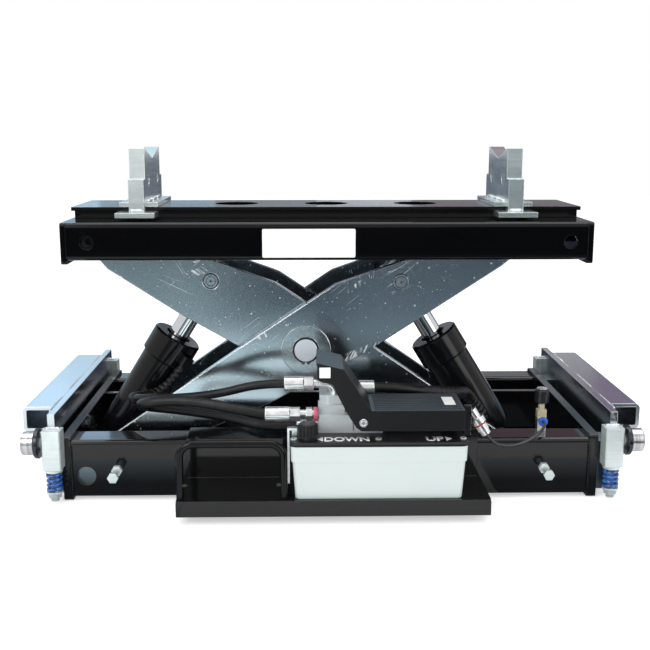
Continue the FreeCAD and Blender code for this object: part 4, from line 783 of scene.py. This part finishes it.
def tube(name, path, radius, sides):
    # circle of radius(length share, angle) carried along the path
    side, rise = pathFrames(path)
    share = np.linspace(0, 1, len(path))[:, None]
    angle = np.linspace(0, 2 * np.pi, sides, endpoint=False)[None, :]
    r = radius(share, angle) if callable(radius) else np.full((len(path), sides), radius)
    grid = (path[:, None, :] + (r * np.cos(angle))[..., None] * side[:, None, :]
            + (r * np.sin(angle))[..., None] * rise[:, None, :])
    return surface(name, grid)


def turnedPiece(name, centre, axis, profile, sides):
    # profile of (distance along the axis, radius) in millimetres, turned about the axis
    axis = np.array(axis, float)
    axis /= np.linalg.norm(axis)
    reference = np.eye(3)[int(np.argmin(np.abs(axis)))]
    side = np.cross(axis, reference)
    side /= np.linalg.norm(side)
    rise = np.cross(axis, side)
    outline = np.array(profile, float) * mm
    angle = np.linspace(0, 2 * np.pi, sides, endpoint=False)
    spokes = np.cos(angle)[:, None] * side + np.sin(angle)[:, None] * rise
    grid = centre + outline[:, 0, None, None] * axis + outline[:, 1, None, None] * spokes[None]
    return surface(name, grid)


def softLine(route, count):
    # points read from the route's own smooth curve
    curve = bpy.data.curves.new("route", "CURVE")
    curve.dimensions = "3D"
    curve.resolution_u = count
    spline = curve.splines.new("NURBS")
    spline.points.add(len(route) - 1)
    for point, place in zip(spline.points, route):
        point.co = (*place, 1)
    spline.order_u = 3
    spline.use_endpoint_u = True
    holder = bpy.data.objects.new("route", curve)
    bpy.context.collection.objects.link(holder)
    mesh = bpy.data.meshes.new_from_object(holder)
    points = meshPoints(mesh)
    bpy.data.objects.remove(holder)
    bpy.data.meshes.remove(mesh)
    return evenly(points)


def evenly(points, step=0.0012):
    # the same line with steps of equal length
    lengths = np.concatenate([[0], np.cumsum(np.linalg.norm(np.diff(points, axis=0), axis=1))])
    steps = np.linspace(0, lengths[-1], int(lengths[-1] / step) + 2)
    return np.stack([np.interp(steps, lengths, points[:, i]) for i in range(3)], 1)


# Hoses and springs

# a guard is a wound sleeve over part of the hose, from one share of its length to another
guard = {"pitch": 0.0085, "wall": 0.0009, "ridge": 0.0013, "blunt": 0.7}
hoseSides = 28
curveSteps = 24

routes = {
    "left_hose": {
        "points": ports((-63, -16.6, 168), (-98, -16.6, 168), (-148, -6, 152), (-204, 12, 141),
                        (-258, 24, 138), (-284, 68, 126), (-238.02, 116.29, 120.4),
                        (-212.84, 116.29, 161.26)),
        "radius": 0.0058, "guard": (0.64, 0.985), "finish": "hose_rubber", "slot": "hose_rubber",
        "blend": ("lower_frame", "left_cylinder", at(-258, 26, 138), at(-240, 112, 122)),
    },
    "loop_hose": {
        "points": ports((-88, -37, 132), (-122, -37, 138), (-160, -28, 144), (-204, -12, 145),
                        (-258, -6, 139), (-260, 50, 119), (-204, 54, 112), (-142, 36, 107),
                        (-92, 12.7, 100), (-47, 12.7, 100)),
        "radius": 0.0068, "finish": "hose_rubber", "slot": "hose_rubber",
    },
    "right_hose": {
        "points": ports((58.6, 14.4, 154), (92.6, 14.4, 153), (138, 30, 143), (182, 60, 133),
                        (202.66, 109.5, 121.27), (227.84, 109.5, 80.4)),
        "radius": 0.0068, "guard": (0.3, 0.97), "finish": "hose_rubber", "slot": "hose_rubber",
    },
    "air_line": {
        "points": ports((203.5, -38, 104.4), (208.33, -38, 96.81), (220, -40, 88), (242, -36, 86),
                        (262, -29, 91), (281, -18, 99), (291, -1.5, 105), (291, 10.5, 105)),
        "radius": 0.0021, "finish": "air_tube", "slot": "air_tube",
    },
}


def makeHoses(finishes):
    # a round tube; on the guard its radius has a ridge that winds round once per pitch
    for name, route in routes.items():
        line = softLine(route["points"], curveSteps)
        reach = np.linalg.norm(np.diff(line, axis=0), axis=1).sum()
        start, end = route.get("guard", (2, 2))          # past the end where there is none
        winds = reach / guard["pitch"]

        def radius(share, angle):
            ridge = (0.5 + 0.5 * np.cos(angle - share * winds * 2 * np.pi)) ** guard["blunt"]
            inside = ((share > start) & (share < end)).astype(float)
            return route["radius"] * (1 + 0 * angle) + inside * (guard["wall"] + guard["ridge"] * ridge)

        hose = tube(name + "_outer", line, radius, hoseSides)
        hose.data.materials.append(finishes[route["finish"]])
        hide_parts(name)
        if route.get("blend"):
            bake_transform(hose)
        else:
            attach(hose, "lower_frame")


coil = {
    "turns": 4.6, "radius": 0.0083, "wire": 0.00245, "flatTurns": 0.6,
    "fixedEnd": 0.047, "keep": 0.775,       # where it seats, and what is left of it at full lift
    "stepsPerTurn": 40, "sides": 14,
}


def makeSprings(finishes):
    # open coil with closed, ground ends; the whole coil rides with its carriage
    for corner in ("front_left", "front_right", "rear_left", "rear_right"):
        low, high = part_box(corner + "_spring")
        turns = np.linspace(0, coil["turns"], int(coil["turns"] * coil["stepsPerTurn"]))
        flat = coil["flatTurns"]
        climb = np.clip((turns - flat) / (coil["turns"] - 2 * flat), 0, 1)
        z = low.z + coil["wire"] + climb * (high.z - low.z - 2 * coil["wire"])
        middle = ((low.x + high.x) / 2, (low.y + high.y) / 2)
        angle = turns * 2 * np.pi
        line = np.stack([middle[0] + coil["radius"] * np.cos(angle),
                         middle[1] + coil["radius"] * np.sin(angle), z], 1)
        spring = tube(corner + "_coil", line, coil["wire"], coil["sides"])
        spring.data.materials.append(finishes["spring_paint"])
        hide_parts(corner + "_spring")
        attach(spring, corner.split("_")[1] + "_carriage")
        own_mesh(spring)


# Welds, rings, plates and letters

# all places in millimetres; a bead's size is its half width
welds = {
    "ripple": 3.4, "sides": 12, "steps": 1.6, "fewestSteps": 12,             # steps per millimetre
    "drift": (0.3, 0.3, 0.2), "wander": 0.05, "uneven": 0.06,
    "taper": 1.6, "blunt": 0.35,                                             # share of the size at a tip
    "lumps": 0.4, "footLumps": 0.35, "endLumps": 0.22,                       # depth of the scallops
    "seeds": {"stitch": 11, "block": 31, "foot": 41, "pad": 51, "end": 61, "guard": 71},
    "carriageSize": 2.3, "stitches": ((14, 84), (128, 206), (258, 352)),     # from the front
    "valley": (389.0, 122.6),                                                # between plate and channel
    "blockSize": 2.645, "blockTop": 105.4, "blockEnds": (370.5, 391.0),
    "blockDepth": (("front", -8.0), ("rear", 398.0)),
    "footSize": 3.0, "footTop": 389.8, "footDepth": (("front", 63.6), ("rear", 236.4)),
    "footEnds": {"left": (-272.0, -254.0), "right": (244.5, 262.5)},
    "padSize": 2.6, "padTop": 400.6, "padStitches": ((96, 122), (138, 164), (180, 206)),
    "padInner": {"left": -251.8, "right": 242.4},
    "endSize": 1.9, "endAcross": 352.6, "endDepth": (-1.0, 391.0), "endRise": (14, 78),
    "guardSize": 3.2, "guardFeet": (-190.5, -68.0), "guardHalf": 5, "guardSeat": (-84.0, 51.5),
}
leftShift = 7.0        # the left carriage stands further in than the right one


def bead(name, start, end, size, body, finishes, seed, lumps):
    # weld bead: a half-round ridge with overlapping scallops, tapered at both ends
    start, end = at(*start), at(*end)
    length = np.linalg.norm(end - start)
    share = np.linspace(0, 1, max(welds["fewestSteps"], int(length / mm * welds["steps"])))
    draw = np.random.default_rng(seed)
    drift = np.cumsum(draw.normal(0, welds["wander"], len(share)))
    drift -= np.linspace(drift[0], drift[-1], len(share))
    line = start + share[:, None] * (end - start) + drift[:, None] * np.array(welds["drift"]) * mm
    wave = np.abs(np.sin(share * length / mm / welds["ripple"] * np.pi))
    tip = size * welds["taper"] * mm
    taper = np.minimum(1, np.minimum(share, 1 - share) * length / tip + welds["blunt"])
    jitter = 1 + draw.normal(0, welds["uneven"], len(share))

    def radius(along, angle):
        return (size * mm * taper * jitter * (1 - lumps + lumps * wave))[:, None] + 0 * angle

    painted = body == "lower_frame"
    finished(tube(name, line, radius, welds["sides"]), "frame_paint" if painted else "zincSheet", body,
             finishes)


def carriageWelds(finishes):
    # stitches in the valley between plate and channel, and a bead over each roller block
    size, lumps, seeds, z = welds["carriageSize"], welds["lumps"], welds["seeds"], welds["blockTop"]
    for side in ("left", "right"):
        body = side + "_carriage"
        sign, shift = (1, 0) if side == "right" else (-1, leftShift)
        valleyX, valleyZ = welds["valley"]
        x = sign * valleyX + shift
        for k, (y0, y1) in enumerate(welds["stitches"]):
            bead(f"{side}_stitch_{k}", (x, y0, valleyZ), (x, y1, valleyZ), size, body, finishes,
                 seeds["stitch"] + k + sign, lumps)
        x0, x1 = (sign * end + shift for end in welds["blockEnds"])
        for place, y in welds["blockDepth"]:
            bead(f"{side}_{place}_block_weld", (x0, y, z), (x1, y, z), welds["blockSize"], body, finishes,
                 seeds["block"] + sign, lumps)


def padWelds(finishes):
    # a bead across each hooked foot, and three along the pad's inner face
    seeds, footTop, padTop = welds["seeds"], welds["footTop"], welds["padTop"]
    for side in ("left", "right"):
        body = side + "_lift_pad"
        x0, x1 = welds["footEnds"][side]
        for place, y in welds["footDepth"]:
            bead(f"{side}_{place}_foot_weld", (x0, y, footTop), (x1, y, footTop), welds["footSize"],
                 body, finishes, seeds["foot"], welds["footLumps"])
        x = welds["padInner"][side]
        for k, (y0, y1) in enumerate(welds["padStitches"]):
            bead(f"{side}_pad_weld_{k}", (x, y0, padTop), (x, y1, padTop), welds["padSize"],
                 body, finishes, seeds["pad"] + k, welds["lumps"])


def frameWelds(finishes):
    # upright beads where the end plates meet the beams, and one at each foot of the guard bar
    seeds = welds["seeds"]
    low, high = welds["endRise"]
    for side, sign in (("left", -1), ("right", 1)):
        x = sign * welds["endAcross"]
        for k, y in enumerate(welds["endDepth"]):
            bead(f"end_weld_{k}_{side}", (x, y, low), (x, y, high), welds["endSize"], "lower_frame",
                 finishes, seeds["end"] + k, welds["endLumps"])
    y, z = welds["guardSeat"]
    half = welds["guardHalf"]
    for k, x in enumerate(welds["guardFeet"]):
        bead(f"guard_weld_{k}", (x - half, y, z), (x + half, y, z), welds["guardSize"], "lower_frame",
             finishes, seeds["guard"] + k, welds["lumps"])


# place, direction, start and width along it, outer and inner radius, finish, slot
rings = {
    "coupling_ring": ((182.5, -38, 137.4), (0.537, 0, -0.844), 21.4, 2.4, 9.4, 7.0, "red", "zinc"),
    "fitting_cap": ((-24.5, -37, 132), (1, 0, 0), 0.0, 6.0, 9.2, 5.0, "pink", "zinc"),
    "valve_collar": ((291, 14.4, 105), (0, -1, 0), 0.0, 4.2, 6.4, 2.6, "blue", "zinc"),
}


def makeRings(finishes):
    # short bands with softened rims round the fittings
    for name, (place, way, start, width, outer, inner, finish, slot) in rings.items():
        rim = min(0.5, width / 4)
        profile = [(start, inner), (start, outer - rim), (start + rim, outer),
                   (start + width - rim, outer), (start + width, outer - rim), (start + width, inner)]
        finished(turnedPiece(name, at(*place), way, profile, 40), finish, "lower_frame", finishes)


# painted shade: dark lines on the ends of the rod pins, in their grooves, round their feet and on their
# centres; depth of the face, inner and outer radius
pinShadeRings = {
    "outer": {"x": 98.64, "body": "outer_scissor", "lines": {
        "groove": (68.0, 7.6, 8.5), "foot": (70.0, 11.0, 12.0), "centre": (68.0, 0.02, 1.3)}},
    "inner": {"x": -166.68, "body": "inner_scissor", "lines": {
        "groove": (84.0, 9.8, 10.9), "ring": (84.0, 6.2, 6.8), "centre": (84.0, 0.02, 1.3)}},
    "z": 290.12, "sunk": -0.3, "proud": 0.12,
}
# distance along the axis and radius
screwHead = {
    "place": (39.0, -80.0, 132.0),
    "profile": ((0, 5.4), (0.5, 5.4), (0.5, 4.3), (1.5, 4.2), (2.1, 3.7), (2.3, 2.4), (1.2, 2.2),
                (1.2, 0.02)),
}
knobDisc = {"place": (291, 25, 149.0), "profile": ((-0.4, 7.2), (0.35, 7.2), (0.6, 6.8), (0.6, 0.02))}


def makeMarks(finishes):
    # painted shade as dark lines round the flush rod pins; then the treadle screw and the knob's disc
    front, up = (0, -1, 0), (0, 0, 1)
    low, high = pinShadeRings["sunk"], pinShadeRings["proud"]
    for pin in ("outer", "inner"):
        marks = pinShadeRings[pin]
        for line, (y, inner, outer) in marks["lines"].items():
            profile = [(low, inner), (high, inner), (high, outer), (low, outer)]
            place = at(marks["x"], y, pinShadeRings["z"])
            mark = turnedPiece(f"{pin}_pin_{line}", place, front, profile, 48)
            finished(mark, "dark", marks["body"], finishes)
    screw = turnedPiece("treadle_screw", at(*screwHead["place"]), front, screwHead["profile"], 32)
    finished(screw, "zinc", "treadle_rocker", finishes)
    disc = turnedPiece("knob_disc", at(*knobDisc["place"]), up, knobDisc["profile"], 32)
    finished(disc, "zinc", "lower_frame", finishes)


def bandOutline(width, height, corner, steps):
    # rounded rectangle as four quarter arcs, going round once
    quarter = np.linspace(0, np.pi / 2, steps)
    parts = []
    for k, (sx, sy) in enumerate(((1, 1), (-1, 1), (-1, -1), (1, -1))):
        turn = quarter + k * np.pi / 2
        parts.append(np.stack([sx * (width / 2 - corner) + corner * np.cos(turn),
                               sy * (height / 2 - corner) + corner * np.sin(turn)], 1))
    return np.concatenate(parts)


border = {"slope": 0.25, "proud": 0.12, "inner": 0.2, "sunk": 0.05, "leastCorner": 0.1, "cornerSteps": 6}


def thinPlate(name, centre, across, rise, size, corner, thickness, lip):
    # plate standing off its face: back outline, front outline, and a fine raised border if asked
    across, rise = np.array(across, float), np.array(rise, float)
    out = np.cross(across, rise)
    top = thickness + border["proud"]
    rows = [(0, 0), (0, thickness), (border["slope"], top)]
    if lip:
        rows += [(lip, top), (lip + border["inner"], thickness - border["sunk"])]
    grid = []
    for inset, height in rows:
        flat = bandOutline(size[0] - 2 * inset, size[1] - 2 * inset,
                           max(corner - inset, border["leastCorner"]), border["cornerSteps"])
        grid.append(centre + (flat[:, :1] * across + flat[:, 1:] * rise + height * out) * mm)
    return surface(name, np.array(grid))


# bare white plates: middle, the way their height runs, size, corner, thickness, and the width of
# a raised border
plates = {
    "front_plate": ((-29.5, 12.5, 351.0), (0, 0, 1), (123, 38), 2.0, 0.5, 1.6),
    "treadle_front_plate": ((-10.2, -80.0, 198.0), (0, 0, 1), (14, 13.6), 0.6, 0.3, 0.0),
    "treadle_deck_plate": ((152.5, -38.0, 149.0), (0, 1, 0), (14.5, 38), 0.8, 0.3, 0.0),
}


def makePlates(finishes):
    for name, (middle, rise, *shape) in plates.items():
        plate = thinPlate(name, at(*middle), (1, 0, 0), rise, *shape)
        onTop = name == "front_plate"
        finished(plate, "white", "upper_frame" if onTop else "treadle_rocker",
                 finishes)


letters = {
    "DOWN": {"left": -11.0, "right": 47.0, "arrow": (-20.0, -12.5)},
    "UP": {"left": 120.0, "right": 143.0, "arrow": (153.5, 145.5)},
    "front": -80.0, "back": -62.0, "top": 108.0, "height": 0.25, "gap": 0.02, "bold": 0.034,
}
mergeDistance = 1e-6


def word(name, text, left, right):
    # the control word, drawn wide and bold, laid on the lid
    font = bpy.data.curves.new(name, "FONT")
    font.body = text
    font.size = 1.0
    font.offset = letters["bold"]
    font.resolution_u = 4
    holder = bpy.data.objects.new(name, font)
    bpy.context.collection.objects.link(holder)
    flat = bpy.data.meshes.new_from_object(holder)
    bpy.data.objects.remove(holder)
    co = meshPoints(flat)
    low, high = co.min(0), co.max(0)
    share = (co - low)[:, :2] / (high - low)[:2]
    x = left + share[:, 0] * (right - left)
    y = letters["front"] + share[:, 1] * (letters["back"] - letters["front"])
    z = np.full(len(co), letters["top"] + letters["gap"])
    flat.vertices.foreach_set("co", (np.stack([x, y, z], 1) * mm + np.array([0, beamFace, 0])).ravel())
    solid = bmesh.new()
    solid.from_mesh(flat)
    bmesh.ops.remove_doubles(solid, verts=solid.verts, dist=mergeDistance)
    made = bmesh.ops.extrude_face_region(solid, geom=solid.faces[:])
    raised = [g for g in made["geom"] if isinstance(g, bmesh.types.BMVert)]
    bmesh.ops.translate(solid, vec=(0, 0, letters["height"] * mm), verts=raised)
    bmesh.ops.recalc_face_normals(solid, faces=solid.faces)
    solid.to_mesh(flat)
    solid.free()
    flat.name = name
    piece = bpy.data.objects.new(name, flat)
    bpy.context.collection.objects.link(piece)
    return piece


def prism(name, outline, z0, z1):
    # flat outline of (x, y) in millimetres raised from z0 to z1
    outline = np.array(outline, float)
    rows = [np.column_stack([outline, np.full(len(outline), z)]) for z in (z0, z1)]
    grid = np.array(rows) * mm + np.array([0, beamFace, 0])
    piece = surface(name, grid)
    facets(piece.data)
    return piece


def makeLetters(finishes):
    top, height = letters["top"], letters["height"]
    middle = (letters["front"] + letters["back"]) / 2
    half = (letters["back"] - letters["front"]) / 2
    for text in ("DOWN", "UP"):
        place = letters[text]
        finished(word("word_" + text.lower(), text, place["left"], place["right"]), "ink",
                 "lower_frame", finishes)
        tip, foot = place["arrow"]
        outline = [(tip, middle), (foot, middle - half), (foot, middle + half)]
        arrow = prism("arrow_" + text.lower(), outline, top + letters["gap"], top + height)
        finished(arrow, "ink", "lower_frame", finishes)


tankShape = {
    "rows": ((0.0, 7.2), (0.5, 6.2), (1.4, 5.8), (3.0, 5.7), (46.0, 2.6), (48.2, 2.4), (49.0, 2.2),
             (49.8, 0.9), (50.6, 0.6), (52.0, 0.55), (70.0, 0.0)),       # height, inset of the sides
    "grow": (1.0, 2.2), "corner": 5.0, "cornerSteps": 9, "frontShare": 0.3,
}


def makeTank(finishes):
    # tapered moulding with a proud band under the lid: a rounded rectangle that shrinks with depth
    low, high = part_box("tank")
    middle = np.array([(low.x + high.x) / 2, (low.y + high.y) / 2, low.z])
    width = (high.x - low.x) / mm + 2 * tankShape["grow"][0]
    depth = (high.y - low.y) / mm + 2 * tankShape["grow"][1]
    grid = []
    for height, inset in tankShape["rows"]:
        flat = bandOutline(width - 2 * inset, depth - 2 * inset * tankShape["frontShare"],
                           tankShape["corner"], tankShape["cornerSteps"])
        grid.append(middle + np.column_stack([flat, np.full(len(flat), height)]) * mm)
    body = surface("tank_body", np.array(grid))
    facets(body.data)
    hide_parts("tank")
    finished(body, "tank_plastic", "lower_frame", finishes)


cross = {"arm": 2.6, "half": 0.55, "sunk": 0.3, "proud": 0.06, "seed": 5}
heads = {"apart": 0.012, "depth": 0.0004}       # how the screws' heads are told apart in their node


def makeScrewCrosses(finishes):
    # cross recesses on the lid's screws as dark crosses of painted shade, set at uneven angles; the
    # screws are found in their node
    node = bpy.data.objects["lid_screws"]
    co = meshPoints(node.data)
    top = co[:, 2].max()
    crowns = co[co[:, 2] > top - heads["depth"]]
    centres = []
    for point in crowns:
        if all(np.hypot(*(point[:2] - c[:2])) > heads["apart"] for c in centres):
            near = crowns[np.hypot(*(crowns[:, :2] - point[:2]).T) < heads["apart"]]
            centres.append(near.mean(0))
    draw = np.random.default_rng(cross["seed"])
    arm, half = cross["arm"], cross["half"]
    quarter = np.array([(half, half), (half, arm), (-half, arm)])
    quarterTurn = np.array([(0, 1), (-1, 0)])
    outline = np.concatenate([quarter @ np.linalg.matrix_power(quarterTurn, k) for k in range(4)])
    for k, centre in enumerate(centres):
        turn = draw.uniform(0, np.pi / 2)
        spin = np.array([[np.cos(turn), np.sin(turn)], [-np.sin(turn), np.cos(turn)]])
        flat = outline @ spin + np.array([centre[0] / mm, (centre[1] - beamFace) / mm])
        mark = prism(f"screw_cross_{k}", flat, top / mm - cross["sunk"], top / mm + cross["proud"])
        finished(mark, "dark", "lower_frame", finishes)


makeCamera()
makeStudio()
print("camera and light ready")
finishes = makeFinishes()
dressNodes(finishes)
print("finishes on the CAD nodes")
makeHoses(finishes)
makeSprings(finishes)
print("hoses and springs laid")
carriageWelds(finishes)
padWelds(finishes)
frameWelds(finishes)
print("welds run")
makeTank(finishes)
makeRings(finishes)
makeMarks(finishes)
makePlates(finishes)
makeLetters(finishes)
makeScrewCrosses(finishes)
print("rings, plates and letters set")
